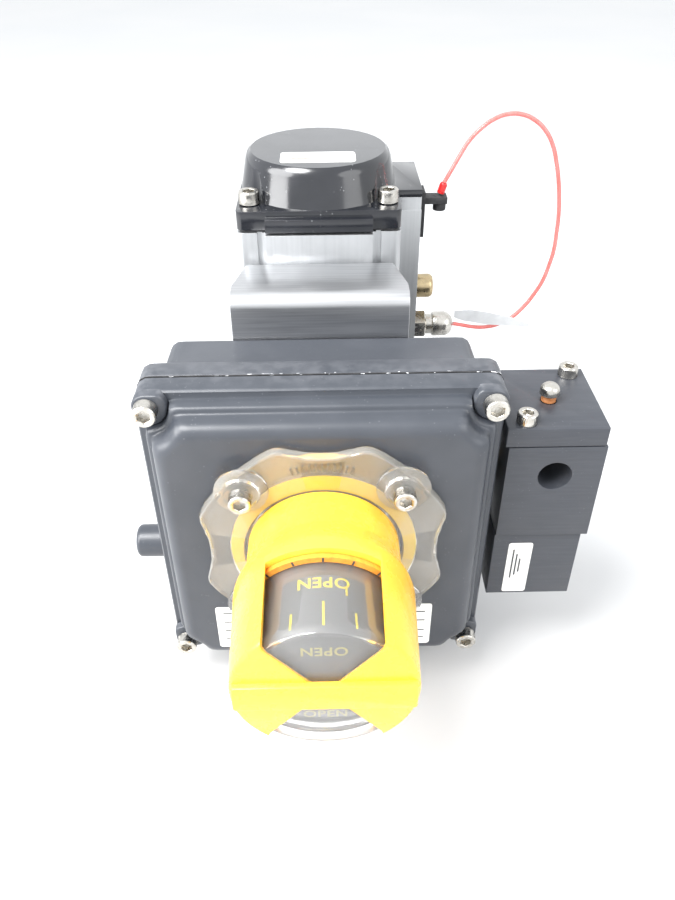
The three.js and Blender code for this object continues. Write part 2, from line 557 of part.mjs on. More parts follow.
function buildBox() {
  piece('enclosure_base', enclosureBase(), BLACK_COAT);
  piece('enclosure_cover', enclosureCover(), BLACK_COAT);
  piece('cover_gasket', cut(
    square(BOX.flange - 1, 6, COVER.back + 0.15, BOX.seam - 0.15),
    square(BOX.flange - 4, 15, COVER.back - 1, BOX.seam + 1),
    ...coverBoltHoles(3, -140, -120),
  ), RUBBER);
  corners(COVER_BOLT.offset, COVER_BOLT.offset).forEach(([x, z], i) => {
    piece(`cover_screw_${i + 1}`, capScrew(COVER_BOLT.head, 6, 2.5, COVER_BOLT.length), STAINLESS,
      [x, COVER.ear - GAP, BOX.z + z], [Math.PI / 2, 0, 0]);
  });
  const spindle = cut(
    rod('y', SPINDLE.radius, SPINDLE.to, SPINDLE.from, ON_SHAFT),
    box([3.6, 10], [SPINDLE.to - 1, SPINDLE.to + 8], [SHAFT_Z - 10, SHAFT_Z + 10]),
  );
  piece('indicator_shaft', spindle, STAINLESS);
  ['open', 'closed'].forEach((state, i) => {
    const back = -92 - i * 10;
    const lobe = prism('y', roundedRectangle(3, 4, 1, 15.5, 0), back - 6, back, 3)
      .translate(0, 0, SHAFT_Z);
    const cam = join(ring('y', SPINDLE.radius + GAP, 14, back - 6, back, ON_SHAFT, 20), lobe);
    const turn = i === 0 ? 0 : -Math.PI / 2;
    const [sin, cos] = [Math.sin(turn), Math.cos(turn)];
    piece(`${state}_cam`, cam, i === 0 ? POLYMER : RED,
      [-SHAFT_Z * sin, 0, SHAFT_Z - SHAFT_Z * cos], [0, turn, 0]);
    piece(`${state}_switch`, box([20, 46], [back - 6.9, back + 0.9], [SHAFT_Z - 9, SHAFT_Z + 9]), SWITCH_BLUE);
  });
  const terminals = [0, 1, 2, 3, 4, 5].map((i) => rod('y', 2.4, -120, -104, [-40 + i * 10, 0, 52], 8));
  piece('terminal_block', cut(box([-47, 17], [-108, -87], [43, 61]), ...terminals), POLYMER);
  piece('blanking_plug', turned('x', [
    [0, PLUG.end], [PLUG.radius - 3, PLUG.end], [PLUG.radius - 0.9, PLUG.end + 0.9], [PLUG.radius, PLUG.end + 3],
    [PLUG.radius, -BOX.half - GAP], [6, -BOX.half - GAP], [6, -61], [0, -61],
  ], [0, PLUG.y, PLUG.z], 24), BLACK_COAT);
}

// ---- Position beacon ----
// The clear flange's outline: eight soft points in pairs, with a dip between pairs on each axis.
const FLANGE_QUARTER = [[0, 48.7], [7, 49.3], [13, 51.6], [18, 54.2], [21, 55], [26, 54.5], [34, 53.6], [45, 53.2]];

function flangeOutline() {
  const half = FLANGE_QUARTER.slice(1, -1).map(([degrees, radius]) => [90 - degrees, radius]).reverse();
  const points = [];
  for (let quarter = 0; quarter < 4; quarter += 1) {
    for (const [degrees, radius] of [...FLANGE_QUARTER, ...half]) {
      const angle = THREE.MathUtils.degToRad(degrees + 90 * quarter);
      points.push([radius * Math.cos(angle), SHAFT_Z + radius * Math.sin(angle)]);
    }
  }
  return outline(points);
}

function beaconDome() {
  const inner = CLEAR.outer - CLEAR.wall;
  const cup = turned('y', [
    [0, CLEAR.end], [CLEAR.outer - 3, CLEAR.end], [CLEAR.outer - 0.9, CLEAR.end + 0.9],
    [CLEAR.outer, CLEAR.end + 3], [CLEAR.outer, FLANGE.back], [0, FLANGE.back],
  ], ON_SHAFT, 36);
  const bosses = corners(FLANGE.bolt, FLANGE.bolt).map(([x, z]) => turned('y', [
    [0, FLANGE.bossTop], [6.5, FLANGE.bossTop], [FLANGE.boss, FLANGE.front + 0.5], [0, FLANGE.front + 0.5],
  ], [x, 0, SHAFT_Z + z], 14));
  const clearOfShroud = ring('y', CLEAR.outer + 1, SHROUD.neck + GAP, FLANGE.bossTop - 1, FLANGE.front, ON_SHAFT);
  return cut(
    join(prism('y', flangeOutline(), FLANGE.front, FLANGE.back, 4), cup, ...bosses),
    clearOfShroud,
    rod('y', inner, CLEAR.end + CLEAR.wall, FLANGE.back + 1, ON_SHAFT, 36),
    ring('y', RING.inner - GAP, RING.outer + GAP, RING.front - GAP, FLANGE.back + 1, ON_SHAFT, 32),
    ...corners(FLANGE.bolt, FLANGE.bolt).map(([x, z]) => rod('y', 2.8, -170, -150, [x, 0, SHAFT_Z + z], 8)),
  );
}

function beaconShroud() {
  const { neck, flare, end, from, neckEnd, flareEnd, to } = SHROUD;
  const endPlate = 2;
  const inside = CLEAR.outer + GAP;
  const shell = turned('y', [
    [0, to], [end - 1.2, to], [end, to + 1.2], [flare, flareEnd], [neck, neckEnd], [neck, from], [0, from],
  ], ON_SHAFT, 36);
  const hollow = turned('y', [
    [0, to + endPlate], [end - 2.5, to + endPlate], [flare - 2.6, flareEnd], [inside, neckEnd - 1],
    [inside, from + 1], [0, from + 1],
  ], ON_SHAFT, 36);
  const bar = prism('y', roundedRectangle(SHROUD_BAR.half, SHROUD_BAR.rise, 1.5, 0, SHAFT_Z),
    SHROUD_BAR.face, to + 1, 3);
  const opening = [[WINDOW.apex, WINDOW.apexRise], [WINDOW.half, WINDOW.knee], [WINDOW.half, 50],
    [-WINDOW.half, 50], [-WINDOW.half, WINDOW.knee], [-WINDOW.apex, WINDOW.apexRise]];
  const windows = [1, -1].map((side) => {
    const points = opening.map(([x, z]) => [side * x, SHAFT_Z + side * z]);
    return prism('y', outline(points), -250, WINDOW.from);
  });
  return join(cut(shell, hollow, ...windows), bar);
}

function indicatorDrum() {
  const { radius, wall, from, to, hub } = DRUM;
  return turned('y', [
    [0, to], [radius - 1.5, to], [radius, to + 1.5], [radius, from], [radius - wall, from],
    [radius - wall, to + wall], [hub, to + wall], [hub, from], [SPINDLE.radius + GAP, from],
    [SPINDLE.radius + GAP, SPINDLE.to - GAP], [0, SPINDLE.to - GAP],
  ], ON_SHAFT, 32);
}

function buildBeacon() {
  piece('beacon_dome', beaconDome(), CLEAR_PLASTIC);
  piece('beacon_shroud', beaconShroud(), YELLOW);
  piece('beacon_ring', ring('y', RING.inner, RING.outer, RING.front, RING.back, ON_SHAFT, 32), YELLOW);
  piece('indicator_drum', indicatorDrum(), DRUM_GREY);
  corners(FLANGE.bolt, FLANGE.bolt).forEach(([x, z], i) => {
    piece(`beacon_screw_${i + 1}`, capScrew(4.6, 5.6, 2.5, 12), STAINLESS,
      [x, FLANGE.bossTop - GAP, SHAFT_Z + z], [Math.PI / 2, 0, 0]);
  });
}

// ---- Solenoid valve ----
const PLATE_BOLTS = [[87, -131.5], [113.5, -94.5]];

function valveBody() {
  return cut(
    box(VALVE.x, VALVE.y, VALVE.z),
    rod('y', 7.5, VALVE.y[0] - 1, VALVE.y[0] + 24, [101.7, 0, 124], 20),
    rod('y', 7.5, VALVE.y[1] - 14, VALVE.y[1] + 1, [101.7, 0, 124], 12),
    rod('z', SPOOL.bore, SPOOL.low - BUTTON.travel - 1.5, VALVE.z[1] + 1, [BUTTON.x, BUTTON.y, 0]),
    rod('x', NIPPLE.radius + GAP, VALVE.x[0] - 1, VALVE.x[0] + 8, [0, NIPPLE.y, NIPPLE.z]),
    ...PLATE_BOLTS.map(([x, y]) => rod('z', 2.3, VALVE.z[1] - 12, VALVE.z[1] + 1, [x, y, 0], 8)),
  );
}

function buildValve() {
  piece('valve_body', valveBody(), VALVE_BLACK);
  piece('valve_end_plate', cut(
    box(PLATE.x, PLATE.y, PLATE.z),
    rod('z', BUTTON.stem + GAP, PLATE.z[0] - 1, PLATE.z[1] + 1, [BUTTON.x, BUTTON.y, 0]),
    ...PLATE_BOLTS.map(([x, y]) => rod('z', 2.3, PLATE.z[0] - 1, PLATE.z[1] + 1, [x, y, 0], 8)),
  ), VALVE_BLACK);
  piece('pilot_block', cut(
    box(PILOT.x, PILOT.y, PILOT.z),
    rod('z', 13 + GAP, PILOT.z[0] - 1, 78, [100, -113, 0], 20),
  ), VALVE_BLACK);
  piece('solenoid_coil', rod('z', 13, PILOT.z[0] + 1.5, 77.6, [100, -113, 0], 20), VALVE_BLACK);
  piece('valve_nipple', ring('x', 5, NIPPLE.radius, 62, VALVE.x[0] + 7, [0, NIPPLE.y, NIPPLE.z], 24), BRASS);
  const waist = 2.6;
  const { radius, low, high } = SPOOL;
  const third = (high - low) / 3;
  const lands = [0, 1, 2].flatMap((i) => {
    const start = low + i * third;
    const end = i === 2 ? high : start + third * 0.55;
    const land = [[radius, start], [radius, end]];
    return i === 2 ? land : [...land, [waist, end], [waist, start + third]];
  });
  piece('valve_spool', turned('z', [[0, low], ...lands, [0, high]], [BUTTON.x, BUTTON.y, 0], 14), STAINLESS);
  const top = PLATE.z[1] + BUTTON.travel + 0.8;
  piece('override_button', turned('z', [
    [0, high + GAP], [BUTTON.stem, high + GAP], [BUTTON.stem, top], [BUTTON.head, top], [BUTTON.head, top + 2],
    [BUTTON.head - 0.8, top + 3.8], [BUTTON.head - 2.4, top + 4.9], [0, top + 5.3],
  ], [BUTTON.x, BUTTON.y, 0], 20), STAINLESS);
}

buildActuator();
buildSealWire();
buildBracket();
buildBox();
buildBeacon();
buildValve();

export default group;
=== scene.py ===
import json
import math

import bmesh
import bpy
import numpy as np
from mathutils import Matrix, Vector


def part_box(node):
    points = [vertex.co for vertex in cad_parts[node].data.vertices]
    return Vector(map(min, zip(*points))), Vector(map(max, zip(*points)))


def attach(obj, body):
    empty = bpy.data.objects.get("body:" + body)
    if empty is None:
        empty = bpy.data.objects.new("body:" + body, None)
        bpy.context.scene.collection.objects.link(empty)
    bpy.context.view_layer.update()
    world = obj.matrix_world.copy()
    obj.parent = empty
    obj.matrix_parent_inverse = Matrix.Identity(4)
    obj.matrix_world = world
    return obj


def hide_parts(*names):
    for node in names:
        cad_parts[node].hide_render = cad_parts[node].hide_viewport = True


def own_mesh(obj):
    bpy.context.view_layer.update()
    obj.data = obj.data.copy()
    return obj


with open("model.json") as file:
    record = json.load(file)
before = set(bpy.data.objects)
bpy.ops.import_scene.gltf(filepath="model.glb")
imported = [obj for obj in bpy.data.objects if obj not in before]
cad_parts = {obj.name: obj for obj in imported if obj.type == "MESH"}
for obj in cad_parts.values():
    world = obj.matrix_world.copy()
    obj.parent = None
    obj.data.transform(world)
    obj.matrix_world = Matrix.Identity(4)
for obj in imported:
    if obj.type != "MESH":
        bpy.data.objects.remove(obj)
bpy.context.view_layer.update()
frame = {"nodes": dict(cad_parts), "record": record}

MM = 0.001
JOINTS = {joint["name"]: joint for joint in frame["record"]["behaviour"]["joints"]}
SHAFT_Z = JOINTS["shaft_turn"]["pos_m"][2]
BODY_OF = {node: body for body, nodes in frame["record"]["behaviour"]["bodies"].items() for node in nodes}
SLOT_OF = {part["node"]: part["material_slot"] for part in frame["record"]["subparts"]}


# ---------------------------------------------------------------- camera and lights
def add_camera():
    eye = Vector((2.84, -404.3, 343.0)) * MM
    pitch, yaw, roll = math.radians(37.15), math.radians(0.79), math.radians(-0.5)
    forward = Vector((math.sin(yaw) * math.cos(pitch), math.cos(yaw) * math.cos(pitch), -math.sin(pitch)))
    right = Vector((math.cos(yaw), -math.sin(yaw), 0))
    up = right.cross(forward)
    level = Matrix((right, up, -forward)).transposed()
    camera = bpy.data.objects.new("camera", bpy.data.cameras.new("camera"))
    camera.data.sensor_width = 36
    camera.data.lens = 31.6
    camera.data.clip_start = 0.01
    camera.matrix_world = Matrix.Translation(eye) @ (level @ Matrix.Rotation(roll, 3, "Z")).to_4x4()
    bpy.context.scene.collection.objects.link(camera)
    bpy.context.scene.camera = camera


def add_area_light(name, place, target, size, power):
    light = bpy.data.lights.new(name, "AREA")
    light.shape = "DISK"
    light.size = size
    light.energy = power
    lamp = bpy.data.objects.new(name, light)
    lamp.location = place
    lamp.rotation_euler = (Vector(target) - Vector(place)).to_track_quat("-Z", "Y").to_euler()
    bpy.context.scene.collection.objects.link(lamp)


FLOOR_RADIUS = 7
FLOOR_HEIGHT = -0.0005  # just under the end cap, so that the two faces don't share a plane


def add_studio():
    scene = bpy.context.scene
    scene.view_settings.view_transform = "Standard"
    world = bpy.data.worlds.new("studio")
    scene.world = world
    world.use_nodes = True
    background = world.node_tree.nodes["Background"]
    background.inputs["Color"].default_value = (0.96, 0.98, 1.0, 1)
    background.inputs["Strength"].default_value = 1.45
    target = (0, -0.08, 0.1)
    add_area_light("key", (-0.45, -0.45, 1.1), target, 0.6, 19)
    add_area_light("left", (-1.0, -0.5, 0.7), target, 0.9, 20)
    add_area_light("fill", (0.9, -0.7, 0.7), target, 0.8, 4)
    floor = mesh_object("floor", *disc_plane(FLOOR_RADIUS, FLOOR_HEIGHT), PAINTS["floor"])


# ---------------------------------------------------------------- materials
class Paint:
    """A node material built up from noise layers in the piece's own coordinates, in metres."""

    def __init__(self, name, color, roughness, metallic=0.0):
        self.material = bpy.data.materials.new(name)
        self.material.use_nodes = True
        self.nodes = self.material.node_tree.nodes
        self.links = self.material.node_tree.links
        self.shader = self.nodes["Principled BSDF"]
        self.color = (*color, 1)
        self.roughness = roughness
        self.shader.inputs["Base Color"].default_value = self.color
        self.shader.inputs["Roughness"].default_value = roughness
        self.shader.inputs["Metallic"].default_value = metallic
        self.place = self.nodes.new("ShaderNodeTexCoord").outputs["Object"]
        self.color_out = None
        self.normal_out = None

    def set(self, **values):
        for name, value in values.items():
            self.shader.inputs[name.replace("_", " ")].default_value = value
        return self

    def stretched(self, stretch):
        mapping = self.nodes.new("ShaderNodeMapping")
        mapping.inputs["Scale"].default_value = stretch
        self.links.new(self.place, mapping.inputs["Vector"])
        return mapping.outputs["Vector"]

    def noise(self, scale, detail=3, stretch=(1, 1, 1)):
        node = self.nodes.new("ShaderNodeTexNoise")
        node.inputs["Scale"].default_value = scale
        node.inputs["Detail"].default_value = detail
        self.links.new(self.stretched(stretch), node.inputs["Vector"])
        return node.outputs["Fac"]

    def ramp(self, source, low, high, to_low=0.0, to_high=1.0):
        node = self.nodes.new("ShaderNodeMapRange")
        node.clamp = True
        for key, value in zip(("From Min", "From Max", "To Min", "To Max"), (low, high, to_low, to_high)):
            node.inputs[key].default_value = value
        self.links.new(source, node.inputs["Value"])
        return node.outputs["Result"]

    def tint(self, factor, color):
        """Mixes a colour over what is there, where factor is 1."""
        node = self.nodes.new("ShaderNodeMix")
        node.data_type = "RGBA"
        node.inputs["A"].default_value = self.color
        node.inputs["B"].default_value = (*color, 1)
        if self.color_out:
            self.links.new(self.color_out, node.inputs["A"])
        self.links.new(factor, node.inputs["Factor"])
        self.color_out = node.outputs["Result"]
        self.links.new(self.color_out, self.shader.inputs["Base Color"])
        return self

    def mottle(self, scale, color, low=0.4, high=0.65, stretch=(1, 1, 1), amount=1.0):
        return self.tint(self.ramp(self.noise(scale, 4, stretch), low, high, 0, amount), color)

    def specks(self, scale, size, color, amount=0.8):
        """Small dots, such as dust or chips."""
        node = self.nodes.new("ShaderNodeTexVoronoi")
        node.inputs["Scale"].default_value = scale
        self.links.new(self.place, node.inputs["Vector"])
        gate = self.ramp(self.noise(scale * 0.21, 2), 0.52, 0.6)
        dots = self.ramp(node.outputs["Distance"], size, size * 0.6, 0, amount)
        both = self.nodes.new("ShaderNodeMath")
        both.operation = "MULTIPLY"
        self.links.new(dots, both.inputs[0])
        self.links.new(gate, both.inputs[1])
        return self.tint(both.outputs[0], color)

    # Lighter colour on convex edges, in patches: edge wear and a painted edge highlight.
    def worn_and_highlit_edges(self, color, low=0.53, high=0.6, amount=0.7):
        geometry = self.nodes.new("ShaderNodeNewGeometry")
        edge = self.ramp(geometry.outputs["Pointiness"], low, high, 0, amount)
        patchy = self.ramp(self.noise(180, 4), 0.4, 0.62)
        both = self.nodes.new("ShaderNodeMath")
        both.operation = "MULTIPLY"
        self.links.new(edge, both.inputs[0])
        self.links.new(patchy, both.inputs[1])
        return self.tint(both.outputs[0], color)

    def uneven_gloss(self, scale, spread, stretch=(1, 1, 1)):
        low = max(0.02, self.roughness - spread)
        source = self.ramp(self.noise(scale, 4, stretch), 0.3, 0.7, low, self.roughness + spread)
        self.links.new(source, self.shader.inputs["Roughness"])
        return self

    def bump(self, scale, height, stretch=(1, 1, 1), detail=3):
        """height is the relief in millimetres."""
        node = self.nodes.new("ShaderNodeBump")
        node.inputs["Strength"].default_value = 1
        node.inputs["Distance"].default_value = height * MM
        self.links.new(self.noise(scale, detail, stretch), node.inputs["Height"])
        if self.normal_out:
            self.links.new(self.normal_out, node.inputs["Normal"])
        self.normal_out = node.outputs["Normal"]
        self.links.new(self.normal_out, self.shader.inputs["Normal"])
        return self


def make_paints():
    grey_dust = (0.32, 0.33, 0.34)
    paints = {
        "anodised": Paint("anodised", (0.49, 0.50, 0.51), 0.40, 0.85)
        .mottle(700, (0.41, 0.42, 0.43), stretch=(1, 1, 0.02), amount=0.5)
        .mottle(25, (0.53, 0.54, 0.55), amount=0.5)
        .uneven_gloss(90, 0.08, (1, 1, 0.1)).bump(1500, 0.006, (1, 1, 0.02)),
        "cap_black": Paint("cap_black", (0.008, 0.009, 0.012), 0.16, 0.0)
        .set(Coat_Weight=0.5, Coat_Roughness=0.1)
        .mottle(60, (0.015, 0.016, 0.021), amount=0.6).specks(420, 0.16, grey_dust, 0.5)
        .uneven_gloss(70, 0.07).bump(420, 0.012).bump(60, 0.04),
        "box_black": Paint("box_black", (0.040, 0.045, 0.055), 0.36)
        .mottle(45, (0.052, 0.057, 0.068), amount=0.7).specks(520, 0.13, grey_dust, 0.35)
        # the lighter edges are edge wear and painted edge highlight
        .worn_and_highlit_edges((0.16, 0.165, 0.18)).uneven_gloss(60, 0.05).bump(900, 0.014),
        "valve_black": Paint("valve_black", (0.043, 0.047, 0.057), 0.38, 0.1)
        .mottle(38, (0.052, 0.056, 0.066), amount=0.5).specks(600, 0.14, grey_dust, 0.3)
        .mottle(900, (0.065, 0.069, 0.08), stretch=(0.06, 0.6, 1), amount=0.35)
        .uneven_gloss(110, 0.05).bump(1300, 0.006),
        "stainless": Paint("stainless", (0.58, 0.56, 0.52), 0.26, 1.0)
        .mottle(400, (0.42, 0.40, 0.36), amount=0.6).uneven_gloss(300, 0.1).bump(1800, 0.006),
        "bracket_steel": Paint("bracket_steel", (0.56, 0.565, 0.575), 0.34, 1.0)
        .mottle(900, (0.38, 0.385, 0.40), stretch=(0.03, 1, 1), amount=0.6)
        .mottle(22, (0.52, 0.52, 0.525), amount=0.5)
        .uneven_gloss(60, 0.06, (0.2, 1, 1)).bump(2200, 0.004, (0.02, 1, 1)),
        "cast_metal": Paint("cast_metal", (0.42, 0.43, 0.44), 0.5, 0.9)
        .mottle(200, (0.33, 0.34, 0.35)).uneven_gloss(200, 0.1).bump(900, 0.02),
        "steel": Paint("steel", (0.38, 0.385, 0.39), 0.32, 1.0)
        .mottle(300, (0.28, 0.28, 0.285), amount=0.7).uneven_gloss(200, 0.1).bump(1600, 0.006, (1, 0.1, 1)),
        "brass": Paint("brass", (0.50, 0.40, 0.24), 0.3, 1.0)
        .mottle(300, (0.36, 0.29, 0.18), amount=0.7).uneven_gloss(240, 0.1).bump(1500, 0.006),
        "polymer": Paint("polymer", (0.72, 0.69, 0.60), 0.5)
        .mottle(120, (0.62, 0.60, 0.52)).uneven_gloss(150, 0.08).bump(1100, 0.01),
        "rubber": Paint("rubber", (0.018, 0.018, 0.02), 0.7)
        .mottle(300, (0.035, 0.035, 0.037)).uneven_gloss(200, 0.1).bump(900, 0.02),
        "yellow": Paint("yellow", (0.95, 0.525, 0.05), 0.28)
        .set(Subsurface_Weight=0.12, Subsurface_Scale=0.003)
        .mottle(30, (0.92, 0.49, 0.04), amount=0.5).specks(700, 0.1, (0.45, 0.28, 0.03), 0.35)
        .uneven_gloss(120, 0.06).bump(700, 0.008),
        "clear": Paint("clear", (0.90, 0.89, 0.85), 0.05)
        .set(Transmission_Weight=0.86, IOR=1.46, Coat_Weight=0.4, Coat_Roughness=0.03)
        .mottle(90, (0.84, 0.83, 0.77), amount=0.5).uneven_gloss(140, 0.03).bump(60, 0.03),
        "dome_clear": Paint("dome_clear", (0.97, 0.965, 0.95), 0.04)
        .set(Transmission_Weight=0.95, IOR=1.46)
        .mottle(90, (0.94, 0.93, 0.9), amount=0.4).uneven_gloss(140, 0.02).bump(60, 0.02),
        "drum_grey": Paint("drum_grey", (0.115, 0.116, 0.12), 0.42)
        .mottle(80, (0.12, 0.122, 0.127)).uneven_gloss(120, 0.08).bump(1200, 0.006),
        "red": Paint("red", (0.62, 0.02, 0.02), 0.35)
        .mottle(300, (0.5, 0.015, 0.015)).uneven_gloss(200, 0.08).bump(1200, 0.008),
        "red_clear": Paint("red_clear", (0.92, 0.30, 0.28), 0.2)
        .set(Transmission_Weight=0.6, IOR=1.45)
        .mottle(500, (0.85, 0.18, 0.15), stretch=(1, 1, 0.2), amount=0.7)
        .uneven_gloss(300, 0.08).bump(2500, 0.02),
        "tag_grey": Paint("tag_grey", (0.66, 0.67, 0.68), 0.4, 0.1)
        .mottle(140, (0.58, 0.59, 0.60)).uneven_gloss(150, 0.08).bump(900, 0.01),
        "switch_blue": Paint("switch_blue", (0.03, 0.08, 0.25), 0.4)
        .mottle(120, (0.025, 0.065, 0.2)).uneven_gloss(150, 0.08).bump(1100, 0.008),
        "label": Paint("label", (0.84, 0.84, 0.82), 0.4)
        .mottle(160, (0.77, 0.77, 0.74), amount=0.6).uneven_gloss(130, 0.06).bump(1500, 0.004),
        "ink": Paint("ink", (0.04, 0.04, 0.045), 0.5).mottle(900, (0.09, 0.09, 0.09)).bump(1500, 0.003),
        "red_ink": Paint("red_ink", (0.6, 0.06, 0.05), 0.5).mottle(900, (0.7, 0.2, 0.18)).bump(1500, 0.003),
        "yellow_ink": Paint("yellow_ink", (0.90, 0.72, 0.02), 0.45)
        .mottle(500, (0.8, 0.6, 0.02)).bump(1500, 0.003),
        "faded_ink": Paint("faded_ink", (0.52, 0.46, 0.16), 0.5)
        .mottle(500, (0.44, 0.39, 0.15)).bump(1500, 0.003),
        "ring_yellow": Paint("ring_yellow", (0.95, 0.70, 0.02), 0.3)
        .mottle(40, (0.92, 0.64, 0.02), amount=0.5).uneven_gloss(120, 0.06).bump(700, 0.008),
        "bare_chip": Paint("bare_chip", (0.80, 0.80, 0.82), 0.4, 0.2)
        .mottle(700, (0.30, 0.31, 0.33), 0.42, 0.5).bump(900, 0.02),
        # orange paint that stands for shade: painted shade on the shroud's window edge
        "painted_shade_amber": Paint("painted_shade_amber", (0.85, 0.36, 0.05), 0.35).mottle(500, (0.75, 0.28, 0.04)).bump(1200, 0.01),
        "copper": Paint("copper", (0.60, 0.25, 0.10), 0.35).mottle(500, (0.45, 0.16, 0.05)).bump(1200, 0.01),
        "floor": Paint("floor", (0.58, 0.585, 0.59), 0.7).mottle(3, (0.60, 0.60, 0.60)).bump(300, 0.01),
    }
    return {name: paint.material for name, paint in paints.items()}


# ---------------------------------------------------------------- mesh helpers
def disc_plane(radius, height, count=64):
    angles = [2 * math.pi * i / count for i in range(count)]
    return [(radius * math.cos(a), radius * math.sin(a), height) for a in angles], [tuple(range(count))]


def mesh_object(name, points, faces, material, sharp=35):
    mesh = bpy.data.meshes.new(name)
    mesh.from_pydata([tuple(p) for p in points], [], faces)
    mesh.materials.append(material)
    piece = bpy.data.objects.new(name, mesh)
    bpy.context.scene.collection.objects.link(piece)
    finish_mesh(piece, sharp)
    return piece


def finish_mesh(piece, sharp=35):
    """Merges doubles, points the faces outwards and shades smooth up to the angle."""
    made = bmesh.new()
    made.from_mesh(piece.data)
    bmesh.ops.remove_doubles(made, verts=made.verts, dist=1e-6)
    bmesh.ops.recalc_face_normals(made, faces=made.faces)
    made.to_mesh(piece.data)
    made.free()
    piece.data.polygons.foreach_set("use_smooth", [True] * len(piece.data.polygons))
    piece.data.set_sharp_from_angle(angle=math.radians(sharp))


def fit(piece, node):
    """The piece stands for a CAD node: same body, and the node is hidden."""
    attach(piece, BODY_OF[node])
    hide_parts(node)
    return piece


def detail(piece, body, slot):
    """A piece the CAD model has no node for."""
    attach(piece, body)
    return piece


def loft(name, rings, material, sharp=35):
    """Rings of the same number of points, skinned in order and closed at both ends."""
    count = len(rings[0])
    points = [p for ring in rings for p in ring]
    faces = []
    for level in range(len(rings) - 1):
        for i in range(count):
            j = (i + 1) % count
            a, b = level * count, (level + 1) * count
            faces.append((a + i, a + j, b + j, b + i))
    faces.append(tuple(range(count)))
    faces.append(tuple(range(len(points) - count, len(points))))
    return mesh_object(name, points, faces, material, sharp)


AXIS_FRAMES = {  # (first cross direction, second cross direction, along)
    "x": (Vector((0, 1, 0)), Vector((0, 0, 1)), Vector((1, 0, 0))),
    "y": (Vector((1, 0, 0)), Vector((0, 0, 1)), Vector((0, 1, 0))),
    "z": (Vector((1, 0, 0)), Vector((0, 1, 0)), Vector((0, 0, 1))),
}


def polar_ring(axis, centre, along, radius, count):
    """A ring round an axis; radius is a number or a function of the angle. Lengths in millimetres."""
    u, v, w = AXIS_FRAMES[axis]
    points = []
    for i in range(count):
        angle = 2 * math.pi * i / count
        r = radius(angle) if callable(radius) else radius
        points.append(centre + (u * math.cos(angle) + v * math.sin(angle)) * (r * MM) + w * (along * MM))
    return points


def turned(name, axis, centre, profile, material, count=64, sharp=35):
    """A solid of revolution; the profile is a list of (radius, along) in millimetres from the centre."""
    rings = [polar_ring(axis, Vector(centre), along, max(r, 0.001) if not callable(r) else r, count)
             for r, along in profile]
    return loft(name, rings, material, sharp)


def copy_of(node, name, material):
    """A new piece with a CAD node's mesh."""
    source = frame["nodes"][node]
    piece = bpy.data.objects.new(name, source.data.copy())
    piece.data.transform(source.matrix_world)
    piece.data.materials.clear()
    piece.data.materials.append(material)
    bpy.context.scene.collection.objects.link(piece)
    return piece


def softened(node, name, material, radius, angle=50, segments=3):
    """A CAD node with its sharp edges rounded; radius in millimetres."""
    piece = copy_of(node, name, material)
    made = bmesh.new()
    made.from_mesh(piece.data)
    bmesh.ops.remove_doubles(made, verts=made.verts, dist=1e-6)
    bmesh.ops.dissolve_limit(made, angle_limit=math.radians(1.5), verts=made.verts, edges=made.edges)
    sharp = [e for e in made.edges if len(e.link_faces) == 2 and e.calc_face_angle() > math.radians(angle)]
    bmesh.ops.bevel(made, geom=sharp, offset=radius * MM, segments=segments, profile=0.5,
                    affect="EDGES", clamp_overlap=True)
    made.to_mesh(piece.data)
    made.free()
    finish_mesh(piece, 30)
    return fit(piece, node)


def cut_away(piece, tool):
    modifier = piece.modifiers.new("cut", "BOOLEAN")
    modifier.object = tool
    modifier.operation = "DIFFERENCE"
    modifier.solver = "EXACT"
    depsgraph = bpy.context.evaluated_depsgraph_get()
    mesh = bpy.data.meshes.new_from_object(piece.evaluated_get(depsgraph))
    piece.modifiers.clear()
    piece.data = mesh
    bpy.data.objects.remove(tool)


def smooth_max(a, b, reach):
    """The larger of two distances, rounded where they meet."""
    h = max(reach - abs(a - b), 0) / reach
    return max(a, b) + h * h * reach / 4


def outline_radius(inside, limit):
    """Distance from the centre to where a signed distance, inside(x, z), becomes zero, for each angle."""
    def radius(angle):
        low, high = 1.0, limit
        for _ in range(22):
            middle = (low + high) / 2
            if inside(middle * math.cos(angle), middle * math.sin(angle)) < 0:
                low = middle
            else:
                high = middle
        return low
    return radius


def inset(shape, amount):
    return lambda angle: shape(angle) - amount


def rounded_square(half, corner):
    def inside(x, z):
        dx, dz = abs(x) - half + corner, abs(z) - half + corner
        return math.hypot(max(dx, 0), max(dz, 0)) + min(max(dx, dz), 0) - corner
    return inside


# ---------------------------------------------------------------- fasteners
HEAD_SIDES = 72


def hexagon(across):
    def radius(angle):
        return across / 2 / math.cos((angle + math.pi / 6) % (math.pi / 3) - math.pi / 6)
    return radius


def socket_screw(name, seat, axis, sense, head_radius, head_height, material, shank=2.0):
    """A socket head cap screw with a knurled head. sense is +1 or -1 along the axis, seat in metres."""
    def knurl(angle):
        return head_radius - 0.16 * (0.5 + 0.5 * math.cos(36 * angle))
    key = hexagon(head_radius * 1.02)
    top = head_height
    profile = [
        (head_radius * 0.5, -shank), (head_radius * 0.5, 0), (head_radius - 0.25, 0),
        (head_radius - 0.02, 0.25), (knurl, 0.5), (knurl, top - 0.9),
        (head_radius - 0.05, top - 0.75), (head_radius - 0.12, top - 0.4),
        (head_radius - 0.5, top), (head_radius * 0.66, top),
        (hexagon(head_radius * 1.08), top - 0.12), (key, top - 0.3), (key, top * 0.45), (0.001, top * 0.36),
    ]
    if sense < 0:
        profile = [(r, -along) for r, along in profile]
    return turned(name, axis, seat, profile, material, HEAD_SIDES, 28)


